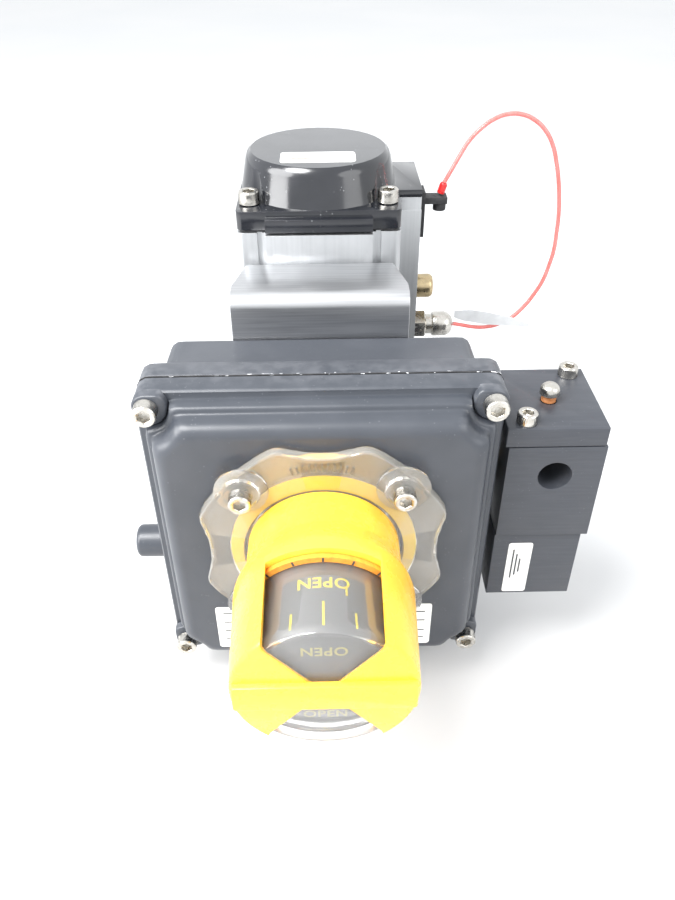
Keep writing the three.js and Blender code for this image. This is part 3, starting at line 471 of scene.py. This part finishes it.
def add_screw_set(prefix, count, axis, sense, head_radius, head_height):
    """Detailed screws in the place of the CAD ones, each head where its node's head is."""
    index = "xyz".index(axis)
    for i in range(1, count + 1):
        node = f"{prefix}_{i}"
        low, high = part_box(node)
        seat = [(a + b) / 2 for a, b in zip(low, high)]
        end = high[index] if sense > 0 else low[index]
        seat[index] = end - sense * head_height * MM
        screw = socket_screw(f"{node}_fine", seat, axis, sense, head_radius, head_height, PAINTS["stainless"])
        fit(screw, node)


# ---------------------------------------------------------------- switch box
BOX_CENTRE = [sum(pair) / 2 for pair in zip(*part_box("enclosure_cover"))]
COVER_BOLT = 70.0  # from the box's centre to each cover screw, both ways
COVER_ROUND = 6.5
BOX_HALF = 76
BOX_CORNER = 5.5
OUTLINE_LIMIT = 140
BOX_SIDES = 240


def box_rings(levels):
    """Rings round the box's Y axis, one per (outline, y in millimetres)."""
    centre = Vector((0, 0, BOX_CENTRE[2]))
    return [polar_ring("y", centre, y, shape, BOX_SIDES) for shape, y in levels]


def square_outline(half, corner):
    return outline_radius(rounded_square(half, corner), OUTLINE_LIMIT)


def notched_outline(half, notch, soften=2.5):
    """A square scooped out round each cover screw."""
    plain = rounded_square(half, 3)

    def inside(x, z):
        scoop = notch - math.hypot(abs(x) - COVER_BOLT, abs(z) - COVER_BOLT)
        return smooth_max(plain(x, z), scoop, soften)
    return outline_radius(inside, OUTLINE_LIMIT)


def ear_outline(x, z):
    """The screw's seat: a disc trimmed by the flange's own outline."""
    flange = rounded_square(BOX_HALF, BOX_CORNER)

    def inside(dx, dz):
        return smooth_max(flange(x + dx, z + dz), math.hypot(dx, dz) - 8.4, 0.8)
    return outline_radius(inside, 20)


def build_cover():
    flange = [
        (square_outline(40, 10), -127.1), (square_outline(75.4, 5), -127.1),
        (square_outline(BOX_HALF, BOX_CORNER), -127.7), (square_outline(75.9, BOX_CORNER), -135.7),
        (square_outline(75.6, BOX_CORNER), -136.8), (square_outline(74.9, BOX_CORNER), -137.5),
    ]
    step = [
        (notched_outline(73.0, 7.6), -137.5), (notched_outline(72.3, 8.4), -137.9),
        (notched_outline(72, 8.8), -138.8), (notched_outline(71.7, 9), -142.4),
        (notched_outline(71.2, 9.4), -143.4), (notched_outline(70.4, 10.1), -144.0),
    ]
    pillow = [
        (notched_outline(69.8, 10.6), -144.1), (notched_outline(69.2, 10.9), -144.5),
        (notched_outline(68.8, 11.2), -145.4),
    ]
    steps = 7
    for i in range(steps + 1):
        turn = math.radians(90 * i / steps)
        inward = COVER_ROUND * (1 - math.cos(turn))
        outline = notched_outline(68.6 - inward, 11.4 + inward * 0.8, 3.5)
        pillow.append((outline, -147.5 - COVER_ROUND * math.sin(turn)))
    rings = box_rings(flange + step + pillow)
    cover = loft("enclosure_cover_fine", rings, PAINTS["box_black"], 40)
    fit(cover, "enclosure_cover")
    for i, (x, z) in enumerate([(1, 1), (-1, 1), (-1, -1), (1, -1)]):
        x, z = x * COVER_BOLT, z * COVER_BOLT
        shape = ear_outline(x, z)
        centre = Vector((x * MM, 0, BOX_CENTRE[2] + z * MM))
        levels = [(0, -136), (0, -140.6), (0.35, -141.25), (0.9, -141.5)]
        rings = [polar_ring("y", centre, y, inset(shape, amount), 48) for amount, y in levels]
        detail(loft(f"cover_ear_{i + 1}", rings, PAINTS["box_black"], 40), "frame", "box_black")


def build_base():
    levels = [
        (square_outline(60, 10), -126.3), (square_outline(75.4, 5), -126.3),
        (square_outline(BOX_HALF, BOX_CORNER), -125.7), (square_outline(BOX_HALF, BOX_CORNER), -116.2),
        (square_outline(75.6, BOX_CORNER), -115.3), (square_outline(74.8, BOX_CORNER), -115.0),
        (square_outline(70.6, 5), -115.0), (square_outline(69.8, 5), -114.6),
        (square_outline(69.4, 5), -113.6), (square_outline(69, 5), -86.2), (square_outline(68.8, 5), -84.8),
        (square_outline(68.2, 5), -84.0), (square_outline(67.2, 5), -83.6),
    ]
    fit(loft("enclosure_base_fine", box_rings(levels), PAINTS["box_black"], 40), "enclosure_base")


CHIP_COUNT = 170
CHIP_PROUD = 0.16
CHIP_EDGES = (-127.2, -126.2)  # the cover's edge and the base's, in y


def strip_faces(first, count):
    """Faces of a strip whose points come in pairs."""
    return [(first + 2 * k, first + 2 * k + 1, first + 2 * k + 3, first + 2 * k + 2) for k in range(count)]


def build_seam():
    """The gasket line between cover and base, with chipped paint along it."""
    inner = square_outline(73, 6)
    rim = square_outline(BOX_HALF + 0.1, BOX_CORNER)
    shapes = [(inner, -127.1), (rim, -127.05), (rim, -126.4), (inner, -126.35)]
    fit(loft("cover_gasket_fine", box_rings(shapes), PAINTS["rubber"]), "cover_gasket")
    outer = square_outline(BOX_HALF, BOX_CORNER)
    rng = np.random.default_rng(7)
    points, faces = [], []
    for _ in range(CHIP_COUNT):
        start = rng.uniform(0, 2 * math.pi)
        span = rng.uniform(0.004, 0.022)
        width = rng.uniform(0.2, 0.75)
        side = CHIP_EDGES[0] if rng.random() < 0.6 else CHIP_EDGES[1]
        first = len(points)
        for k in range(4):
            angle = start + span * k / 3
            radius = (outer(angle) + CHIP_PROUD) * MM
            wobble = rng.uniform(-0.15, 0.15)
            thick = width * (0.35 + 0.65 * math.sin(math.pi * (k + 0.5) / 4))
            for edge in (-thick, thick):
                points.append((radius * math.cos(angle), (side + wobble + edge / 2) * MM,
                               BOX_CENTRE[2] + radius * math.sin(angle)))
        faces += strip_faces(first, 3)
    chips = mesh_object("seam_chips", points, faces, PAINTS["bare_chip"])
    detail(chips, "frame", "box_black")


def build_blanking_plug():
    low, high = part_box("blanking_plug")
    centre = (0, (low[1] + high[1]) / 2, (low[2] + high[2]) / 2)
    end = low[0] / MM
    radius, fillet = 8.5, 2.6
    profile = [(0, end)]
    for degrees in range(0, 91, 15):
        turn = math.radians(degrees)
        profile.append((radius - fillet * (1 - math.sin(turn)), end + fillet * (1 - math.cos(turn))))
    profile += [(radius, -71.6), (8.2, -71.3), (8.2, -70.6), (9.4, -70.4), (9.4, -69.3),
                (6, -69.3), (6, -61), (0, -61)]
    fit(turned("blanking_plug_fine", "x", centre, profile, PAINTS["box_black"], 64), "blanking_plug")


def plate(name, low, high, material, body, slot, corner=1.0):
    """A thin label: a box with rounded corners in its face, given by its corners in millimetres."""
    thin = min(range(3), key=lambda i: high[i] - low[i])
    u, v = [i for i in range(3) if i != thin]
    corners = ((high[u], high[v], 0), (low[u], high[v], 90), (low[u], low[v], 180), (high[u], low[v], 270))
    outline = []
    for cu, cv, start in corners:
        mu = cu - corner if cu == high[u] else cu + corner
        mv = cv - corner if cv == high[v] else cv + corner
        turns = [math.radians(start + k * 22.5) for k in range(5)]
        outline += [(mu + corner * math.cos(turn), mv + corner * math.sin(turn)) for turn in turns]
    rings = []
    for level in (low[thin], high[thin]):
        ring = []
        for a, b in outline:
            point = [0, 0, 0]
            point[thin], point[u], point[v] = level * MM, a * MM, b * MM
            ring.append(point)
        rings.append(ring)
    return detail(loft(name, rings, material), body, slot)


def build_nameplate():
    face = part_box("enclosure_cover")[0][1] / MM
    plate("nameplate", (-51.5, face - 0.28, 34.5), (50, face + 0.1, 62.5), PAINTS["label"],
          "frame", "polymer", 1.5)
    rules = [(-48, -36, 58), (-48, -38, 52), (-48, -34, 46), (-48, -40, 40),
             (38, 47, 57), (40, 47, 51), (37, 47, 44), (41, 47, 39)]
    for i, (x0, x1, z) in enumerate(rules):
        plate(f"nameplate_rule_{i + 1}", (x0, face - 0.34, z), (x1, face - 0.2, z + 0.7), PAINTS["ink"],
              "frame", "rubber", 0.2)


# ---------------------------------------------------------------- position beacon
FLANGE_BOLT = 33.0  # from the shaft to each beacon screw, both ways
FLANGE_EIGHTH = [(0, 48.7), (7, 49.3), (13, 51.6), (18, 54.2), (21, 55), (26, 54.5), (34, 53.6), (45, 53.2)]
RIDGE_RADIUS = 44.2
RING_HOLE_DROP = 2.2
RING_FRONT = -158.15


def flange_radius(angle):
    """The clear flange's outline, the same in each eighth."""
    degrees = math.degrees(angle) % 90
    folded = min(degrees, 90 - degrees)
    for (a0, r0), (a1, r1) in zip(FLANGE_EIGHTH, FLANGE_EIGHTH[1:]):
        if folded <= a1:
            t = (folded - a0) / (a1 - a0)
            return r0 + (r1 - r0) * (t * t * (3 - 2 * t) * 0.5 + t * 0.5)
    return FLANGE_EIGHTH[-1][1]


ON_SHAFT = (0, 0, SHAFT_Z)
BEACON_SIDES = 160


def build_beacon_dome():
    profile = [
        (0, -158.5), (28.5, -158.5), (28.5, -154.3),
        (32.0, -154.3), (32.0, -158.3), (40.1, -158.3), (40.1, -154.3),
        (inset(flange_radius, 0.5), -154.3), (flange_radius, -154.8), (flange_radius, -158.3),
        (inset(flange_radius, 0.2), -158.9), (inset(flange_radius, 0.8), -159.25),
        (inset(flange_radius, 1.6), -159.1), (inset(flange_radius, 2.4), -158.8),
        (33.6, -158.8), (32.8, -158.7), (0, -158.7),
    ]
    dome = turned("beacon_dome_fine", "y", ON_SHAFT, profile, PAINTS["clear"], BEACON_SIDES, 40)
    dome.data.materials.append(PAINTS["dome_clear"])  # the thin skin over the yellow ring
    for face in dome.data.polygons:
        middle = math.hypot(face.center.x, face.center.z - SHAFT_Z)
        face.material_index = int(31 * MM < middle < 41 * MM)
    fit(dome, "beacon_dome")
    cup = [
        (28.5, -158.9), (30.5, -158.9), (30.6, -224), (31.5, -226.6), (31.5, -230.2),
        (31.1, -231.2), (30.2, -231.8), (0, -231.8), (0, -229.4),
        (27.8, -229.4), (28.4, -228.9), (28.5, -226.2), (28.5, -158.9),
    ]
    detail(turned_shell("dome_cup", cup, PAINTS["dome_clear"]), "frame", "clear")
    for i, (sx, sz) in enumerate([(1, 1), (-1, 1), (-1, -1), (1, -1)]):
        centre = (sx * FLANGE_BOLT * MM, 0, SHAFT_Z + sz * FLANGE_BOLT * MM)
        boss = [(3, -158.9), (11.2, -158.9), (11.1, -159.8), (10.4, -160.3), (8.3, -160.5), (7.8, -161.0),
                (7.5, -162.0), (6.9, -162.5), (3, -162.5)]
        piece = turned(f"flange_boss_{i + 1}", "y", centre, boss, PAINTS["dome_clear"], 56, 40)
        detail(piece, "frame", "clear")
    build_flange_ridges()


def build_flange_ridges():
    """Short moulded ridges at the top and the bottom of the flange, between the bosses."""
    points, faces = [], []
    for k in range(-5, 6):
        for base in (90, 270):
            angle = math.radians(base + k * 3.2)
            along = Vector((math.cos(angle), 0, math.sin(angle)))
            across = Vector((-math.sin(angle), 0, math.cos(angle)))
            centre = Vector((0, -158.95 * MM, SHAFT_Z)) + along * (RIDGE_RADIUS * MM)
            f = len(points)
            for y in (0.15, -0.35):
                for a, b in ((-1.6, -0.4), (1.6, -0.4), (1.6, 0.4), (-1.6, 0.4)):
                    points.append(centre + along * (a * MM) + across * (b * MM) + Vector((0, y * MM, 0)))
            faces += [(f, f + 1, f + 2, f + 3), (f + 4, f + 5, f + 6, f + 7), (f, f + 1, f + 5, f + 4),
                      (f + 1, f + 2, f + 6, f + 5), (f + 2, f + 3, f + 7, f + 6), (f + 3, f, f + 4, f + 7)]
    detail(mesh_object("flange_ridges", points, faces, PAINTS["clear"]), "frame", "clear")


def turned_shell(name, profile, material, count=BEACON_SIDES):
    """A ring-shaped solid round the shaft: the profile is closed, its last point the same as its first."""
    rings = [polar_ring("y", Vector(ON_SHAFT), along, max(r, 0.001), count) for r, along in profile]
    points = [p for ring in rings for p in ring]
    faces = []
    for first in range(0, len(points) - count, count):
        after = first + count
        for i in range(count):
            j = (i + 1) % count
            faces.append((first + i, first + j, after + j, after + i))
    return mesh_object(name, points, faces, material, 40)


def prism(name, points, low, high, material):
    """An (x, z) outline pulled along Y between two places, all in millimetres."""
    rings = [[(x * MM, y * MM, SHAFT_Z + z * MM) for x, z in points] for y in (low, high)]
    return loft(name, rings, material)


def rounded_corners(points, radius, steps=4):
    """A closed outline with each corner rounded off."""
    result = []
    count = len(points)
    for i in range(count):
        before, here, after = (Vector(points[(i + k) % count]) for k in (-1, 0, 1))
        to_before, to_after = (before - here), (after - here)
        reach = min(radius, to_before.length * 0.45, to_after.length * 0.45)
        start, end = here + to_before.normalized() * reach, here + to_after.normalized() * reach
        for k in range(steps + 1):
            t = k / steps
            result.append(tuple(start * (1 - t) ** 2 + here * 2 * t * (1 - t) + end * t ** 2))
    return result


WINDOW_END = -195.5  # the windows run from here to the front of the beacon
BAR_HALF_LENGTH = 33.2
BAR_HALF_WIDTH = 6.4


def build_beacon_shroud():
    profile = [
        (30.8, -159.1), (32.0, -159.1), (32.3, -159.4), (32.3, -176.2), (32.4, -177.4),
        (32.9, -178.8), (35.4, -186.2), (36.0, -188.0), (36.3, -190.0), (34.5, -230.4),
        (34.1, -231.5), (33.2, -232.2), (0, -232.2), (0, -230.2), (31.8, -230.2), (33.6, -190),
        (33.2, -188), (31.0, -179.4), (30.8, -178), (30.8, -159.1),
    ]
    shroud = turned_shell("beacon_shroud_fine", profile, PAINTS["yellow"])
    for side in (1, -1):
        opening = [(3.0, 3.2), (21.5, 24.5), (21.5, 50), (-21.5, 50), (-21.5, 24.5), (-3.0, 3.2)]
        outline = rounded_corners([(x * side, z * side) for x, z in opening], 1.8)
        cut_away(shroud, prism("window", outline, -250, WINDOW_END, PAINTS["yellow"]))
    made = bmesh.new()
    made.from_mesh(shroud.data)
    bmesh.ops.remove_doubles(made, verts=made.verts, dist=2e-5)
    sharp = [e for e in made.edges if len(e.link_faces) == 2 and e.calc_face_angle() > math.radians(50)]
    bmesh.ops.bevel(made, geom=sharp, offset=0.35 * MM, segments=2, profile=0.5,
                    affect="EDGES", clamp_overlap=True)
    made.to_mesh(shroud.data)
    made.free()
    finish_mesh(shroud, 40)
    fit(shroud, "beacon_shroud")
    corners = [(sx * BAR_HALF_LENGTH, sz * BAR_HALF_WIDTH) for sx, sz in ((1, 1), (-1, 1), (-1, -1), (1, -1))]
    bar = rounded_corners(corners, 1.2)
    rings = []
    for shrink, y in ((0, -232.0), (0, -234.1), (0.25, -234.55), (0.6, -234.7)):
        along, across = 1 - shrink / BAR_HALF_LENGTH, 1 - shrink / BAR_HALF_WIDTH
        rings.append([(x * along * MM, y * MM, SHAFT_Z + z * across * MM) for x, z in bar])
    detail(loft("shroud_bar", rings, PAINTS["yellow"]), "frame", "yellow")


def letters(name, text, height, material):
    """Flat lettering as a mesh in the XY plane, centred, with the given cap height in millimetres."""
    curve = bpy.data.curves.new(name, "FONT")
    curve.body = text
    curve.align_x = "CENTER"
    curve.align_y = "CENTER"
    curve.size = height * MM * 1.4
    curve.resolution_u = 6
    curve.offset = height * MM * 0.028
    curve.space_character = 1.08
    holder = bpy.data.objects.new(name, curve)
    bpy.context.scene.collection.objects.link(holder)
    bpy.context.view_layer.update()
    mesh = bpy.data.meshes.new_from_object(holder.evaluated_get(bpy.context.evaluated_depsgraph_get()))
    bpy.data.objects.remove(holder)
    piece = bpy.data.objects.new(name, mesh)
    mesh.materials.clear()
    mesh.materials.append(material)
    bpy.context.scene.collection.objects.link(piece)
    made = bmesh.new()
    made.from_mesh(mesh)
    bmesh.ops.triangulate(made, faces=made.faces)
    long_edges = [e for e in made.edges if e.calc_length() > 1.2 * MM]
    bmesh.ops.subdivide_edges(made, edges=long_edges, cuts=3)
    bmesh.ops.triangulate(made, faces=made.faces)
    made.to_mesh(mesh)
    made.free()
    return piece


INK_RADIUS = 27.62  # just proud of the drum's side
END_INK_Y = -227.32  # just proud of the drum's end
DRUM_WORDS = [("OPEN", 0), ("CLOSED", 90), ("OPEN", 180), ("CLOSED", 270)]
# degrees from each word, near end, length
DRUM_TICKS = [(-23.5, 225.8, 7), (0, 225.8, 11), (23.5, 225.8, 7), (17, 211.5, 4.5)]


def wrap_on_drum(piece, around, along):
    """Bends a flat mesh on to the drum's ink surface; `around` in degrees from the top, `along` in y."""
    out = INK_RADIUS * MM
    for vertex in piece.data.vertices:
        x, y = vertex.co.x, vertex.co.y
        angle = math.radians(around) + x / out
        vertex.co = Vector((out * math.sin(angle), along * MM + y, SHAFT_Z + out * math.cos(angle)))


def build_drum():
    profile = [
        (0, -227.2), (25.6, -227.2), (26.8, -226.8), (27.4, -225.8), (27.5, -224.6), (27.5, -161),
        (27.2, -160), (25.5, -160), (25.5, -225), (10, -225), (10, -160), (6.3, -160), (6.3, -171), (0, -171),
    ]
    drum = turned("indicator_drum_fine", "y", ON_SHAFT, profile, PAINTS["drum_grey"], 128, 40)
    fit(drum, "indicator_drum")
    for i, (text, around) in enumerate(DRUM_WORDS):
        word = letters(f"drum_word_{i + 1}", text, 5.0, PAINTS["yellow_ink"])
        for vertex in word.data.vertices:  # turned half round: the tops of the letters face the box
            vertex.co.x, vertex.co.y = -vertex.co.x, -vertex.co.y
        wrap_on_drum(word, around, -205.5)
        detail(word, "drive", "yellow")
        face = letters(f"drum_end_word_{i + 1}", text, 4.4, PAINTS["faded_ink"])
        turn = math.radians(around)
        for vertex in face.data.vertices:
            x, y = -vertex.co.x, -vertex.co.y + 18.3 * MM
            x, y = x * math.cos(turn) + y * math.sin(turn), -x * math.sin(turn) + y * math.cos(turn)
            vertex.co = Vector((x, END_INK_Y * MM, SHAFT_Z + y))
        detail(face, "drive", "yellow")
    out = INK_RADIUS * MM
    points, faces = [], []
    for base in (0, 90, 180, 270):
        for offset, near, length in DRUM_TICKS:
            first = len(points)
            for k in range(5):
                y = -(near - length * k / 4) * MM
                for half in (-0.4, 0.4):
                    angle = math.radians(base + offset) + half / INK_RADIUS
                    points.append((out * math.sin(angle), y, SHAFT_Z + out * math.cos(angle)))
            faces += strip_faces(first, 4)
    detail(mesh_object("drum_ticks", points, faces, PAINTS["yellow_ink"]), "drive", "yellow")
    build_scale()


def build_scale():
    """An orange band of painted shade inside the shroud at the inner end of each window, where the shroud's edge
    lies in shade, with dark marks on it.
    """
    profile = [(30.75, -193.4), (33.2, -193.4), (33.2, -197.6), (30.75, -197.6), (30.75, -193.4)]
    # painted shade: the shaded inner edge of the shroud at each window, as an orange band
    detail(turned_shell("window_edge_shade_band", profile, PAINTS["painted_shade_amber"]), "frame", "yellow")
    points, faces = [], []
    for base in (0, 180):
        for offset in (-41, -20.5, 0, 20.5, 41):
            angle = math.radians(base + offset)
            out = Vector((math.sin(angle), 0, math.cos(angle)))
            across = Vector((math.cos(angle), 0, -math.sin(angle)))
            first = len(points)
            for r in (30.9, 33.1):
                for half in (-0.4, 0.4):
                    points.append(Vector((0, -197.68 * MM, SHAFT_Z)) + out * (r * MM) + across * (half * MM))
            faces.append((first, first + 1, first + 3, first + 2))
    detail(mesh_object("scale_marks", points, faces, PAINTS["ink"]), "frame", "rubber")


def build_beacon():
    build_beacon_dome()
    build_beacon_shroud()
    build_drum()
    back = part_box("beacon_ring")[1][1] / MM
    profile = [(34.5, RING_FRONT), (39.5, RING_FRONT), (39.8, RING_FRONT + 0.3), (39.8, back), (34.5, back),
               (34.5, RING_FRONT)]
    ring = turned_shell("beacon_ring_fine", profile, PAINTS["ring_yellow"], 96)
    for vertex in ring.data.vertices:  # the hole sits a little below the shaft
        if math.hypot(vertex.co.x, vertex.co.z - SHAFT_Z) < 36 * MM:
            vertex.co.z -= RING_HOLE_DROP * MM
    fit(ring, "beacon_ring")


# ---------------------------------------------------------------- actuator
LOWER_SCREW_SEAT = 5.8
PORT_FACE = 52.3


def build_actuator():
    softened("actuator_body", "actuator_body_fine", PAINTS["anodised"], 0.7)
    softened("upper_end_cap", "upper_end_cap_fine", PAINTS["cap_black"], 1.2)
    softened("lower_end_cap", "lower_end_cap_fine", PAINTS["cap_black"], 1.0)
    softened("mounting_bracket", "mounting_bracket_fine", PAINTS["bracket_steel"], 0.45)
    softened("seal_tab", "seal_tab_fine", PAINTS["rubber"], 0.4)
    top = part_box("upper_end_cap")[1][2] / MM  # the dome stands highest
    plate("cap_label", (-18, -25.5, top - 0.1), (18, -10, top + 0.25), PAINTS["label"], "frame", "polymer", 2)
    plate("cap_label_rule", (-14, -20.6, top + 0.2), (14, -19.3, top + 0.31), PAINTS["red_ink"],
          "frame", "red", 0.2)
    lower_screws = [(sx * 33.5, sy * 25) for sx, sy in ((1, 1), (-1, 1), (-1, -1), (1, -1))]
    for i, (x, y) in enumerate(lower_screws):
        seat = (x * MM, y * MM, LOWER_SCREW_SEAT * MM)
        screw = socket_screw(f"lower_cap_screw_{i + 1}", seat, "z", -1, 4.9, 5.4, PAINTS["stainless"], 1.5)
        detail(screw, "frame", "stainless")


def build_return_spring():
    """The return spring's coil, copied with a mesh of its own."""
    spring = fit(copy_of("return_spring", "return_spring_fine", PAINTS["steel"]), "return_spring")
    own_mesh(spring)


def build_port_side():
    low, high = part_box("upper_port_plug")
    centre = (0, (low[1] + high[1]) / 2, (low[2] + high[2]) / 2)
    face = PORT_FACE
    profile = [(5, face - 9), (5, face), (6.2, face), (6.5, face + 0.4), (6.5, face + 7.6), (6.1, face + 8.8),
               (5.2, face + 9.7), (3.4, face + 10), (3.0, face + 9.4), (0, face + 9.2)]
    fit(turned("upper_port_plug_fine", "x", centre, profile, PAINTS["brass"], 64), "upper_port_plug")
    low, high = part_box("lower_port_fitting")
    centre = (0, (low[1] + high[1]) / 2, (low[2] + high[2]) / 2)
    nut = hexagon(14.4)
    profile = [(5, face - 9), (5, face), (7.2, face), (nut, face + 0.5), (nut, face + 6.4), (6.8, face + 7),
               (5.8, face + 7.4), (5.8, face + 10.6), (6.8, face + 11.2), (7, face + 11.8), (7, face + 18.2),
               (6.6, face + 19.6), (5.6, face + 21.2), (4.2, face + 22.3), (2.4, face + 23), (0, face + 23.2)]
    fitting = turned("lower_port_fitting_fine", "x", centre, profile, PAINTS["stainless"], 72, 25)
    fit(fitting, "lower_port_fitting")


WIRE_DIAMETER = 2.2
WIRE_ROUTE = [
    (64.8, 3, 206.6), (67.8, 3, 212.4), (71.8, 4, 219.6), (76.0, 5, 226.4), (81.6, 6, 232.1),
    (88.0, 7, 236.3), (94.8, 8, 238.3), (101.9, 8, 238.1), (108.9, 8, 235.2), (115.0, 8, 230.0), (119.6, 8, 222.9),
    (122.6, 8, 215.0), (125.0, 8, 206.6), (127.0, 8, 197.0), (128.4, 8, 187.0), (128.9, 8, 177.0),
    (128.7, 7, 167.4), (127.4, 7, 158.2), (125.0, 6, 149.6), (121.2, 6, 141.2), (115.6, 5, 133.2),
    (109.0, 4, 127.2), (101.4, 3.4, 123.4), (94.0, 3, 122.2), (87.0, 3, 122.6), (81.0, 3, 123.8),
    (75.9, 3, 124.8),
]


def build_seal_wire():
    curve = bpy.data.curves.new("seal_wire_fine", "CURVE")
    curve.dimensions = "3D"
    curve.bevel_depth = WIRE_DIAMETER / 2 * MM
    curve.bevel_resolution = 4
    curve.use_fill_caps = True
    spline = curve.splines.new("BEZIER")
    spline.resolution_u = 6
    spline.bezier_points.add(len(WIRE_ROUTE) - 1)
    for knot, point in zip(spline.bezier_points, WIRE_ROUTE):
        knot.co = Vector(point) * MM
        knot.handle_left_type = knot.handle_right_type = "AUTO"
    curve.materials.append(PAINTS["red_clear"])
    wire = bpy.data.objects.new("seal_wire_fine", curve)
    bpy.context.scene.collection.objects.link(wire)
    fit(wire, "seal_wire")
    ferrule = softened("seal_ferrule", "seal_ferrule_fine", PAINTS["red"], 0.2)
    tag = build_seal_tag()


def build_seal_tag():
    """A thin leaf with a slight curl, as wide as its CAD outline."""
    low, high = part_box("seal_tag")
    columns, rows = 24, 6
    half_thick = 0.0002
    upper = [(0, 134.6), (0.18, 135), (0.37, 133.4), (0.66, 130), (1, 123.3)]
    lower = [(0, 130.5), (0.1, 128.4), (0.37, 125.6), (0.66, 124.6), (1, 123.0)]
    rings = []
    for i in range(columns + 1):
        t = i / columns
        x = low[0] + (high[0] - low[0]) * t
        z1 = np.interp(t, [p[0] for p in upper], [p[1] for p in upper]) * MM
        z0 = np.interp(t, [p[0] for p in lower], [p[1] for p in lower]) * MM
        middle = (low[1] + high[1]) / 2 + half_thick * math.sin(5 * t)
        front = [(x, middle - half_thick, z0 + (z1 - z0) * k / rows) for k in range(rows + 1)]
        back = [(x, middle + half_thick, z0 + (z1 - z0) * k / rows) for k in range(rows, -1, -1)]
        rings.append(front + back)
    return fit(loft("seal_tag_fine", rings, PAINTS["tag_grey"]), "seal_tag")


# ---------------------------------------------------------------- solenoid valve
def build_valve():
    softened("valve_body", "valve_body_fine", PAINTS["valve_black"], 0.5)
    softened("valve_end_plate", "valve_end_plate_fine", PAINTS["valve_black"], 0.6)
    softened("pilot_block", "pilot_block_fine", PAINTS["valve_black"], 0.5)
    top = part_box("valve_end_plate")[1][2]
    for i, (x, y) in enumerate([(87, -131.5), (113.5, -94.5)]):
        seat = (x * MM, y * MM, top)
        screw = socket_screw(f"valve_screw_{i + 1}", seat, "z", 1, 4.4, 5, PAINTS["stainless"])
        detail(screw, "frame", "stainless")
    low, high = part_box("override_button")
    centre = ((low[0] + high[0]) / 2, (low[1] + high[1]) / 2, 0)
    crown = high[2] / MM
    stem = [(3.2, low[2] / MM), (3.2, crown - 5.3), (4.1, crown - 5.3), (4.4, crown - 5.0),
            (4.4, crown - 3.3), (4.2, crown - 2.3), (3.7, crown - 1.4), (2.9, crown - 0.7),
            (1.6, crown - 0.15), (0, crown)]
    fit(turned("override_button_fine", "z", centre, stem, PAINTS["stainless"], 56), "override_button")
    sleeve = [(3.22, crown - 5.35), (3.3, crown - 5.35), (3.3, top / MM + 0.05), (3.22, top / MM + 0.05)]
    detail(turned("override_sleeve", "z", centre, sleeve, PAINTS["copper"], 40), "override", "brass")
    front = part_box("pilot_block")[0][1] / MM
    plate("valve_label", (87, front - 0.25, 50.5), (98.4, front + 0.1, 83), PAINTS["label"],
          "frame", "polymer", 1.2)
    for i, x in enumerate((89.4, 91.2, 92.9)):
        plate(f"valve_label_rule_{i + 1}", (x, front - 0.31, 60 + 2 * i), (x + 0.8, front - 0.2, 79 - 3 * i),
              PAINTS["ink"], "frame", "rubber", 0.2)


# ---------------------------------------------------------------- the whole object
PAINTS = make_paints()
for node, piece in frame["nodes"].items():
    piece.data.materials.clear()
    piece.data.materials.append(PAINTS[SLOT_OF[node]])

add_camera()
build_seal_wire()
add_studio()
build_cover()
build_base()
build_seam()
build_blanking_plug()
build_nameplate()
build_beacon()
build_actuator()
build_return_spring()
build_port_side()
build_valve()
add_screw_set("cover_screw", 4, "y", -1, 5.0, 6)
add_screw_set("beacon_screw", 4, "y", -1, 4.6, 5.6)
add_screw_set("upper_cap_screw", 4, "z", 1, 5.0, 6)
add_screw_set("bracket_screw", 4, "y", -1, 4.3, 5)
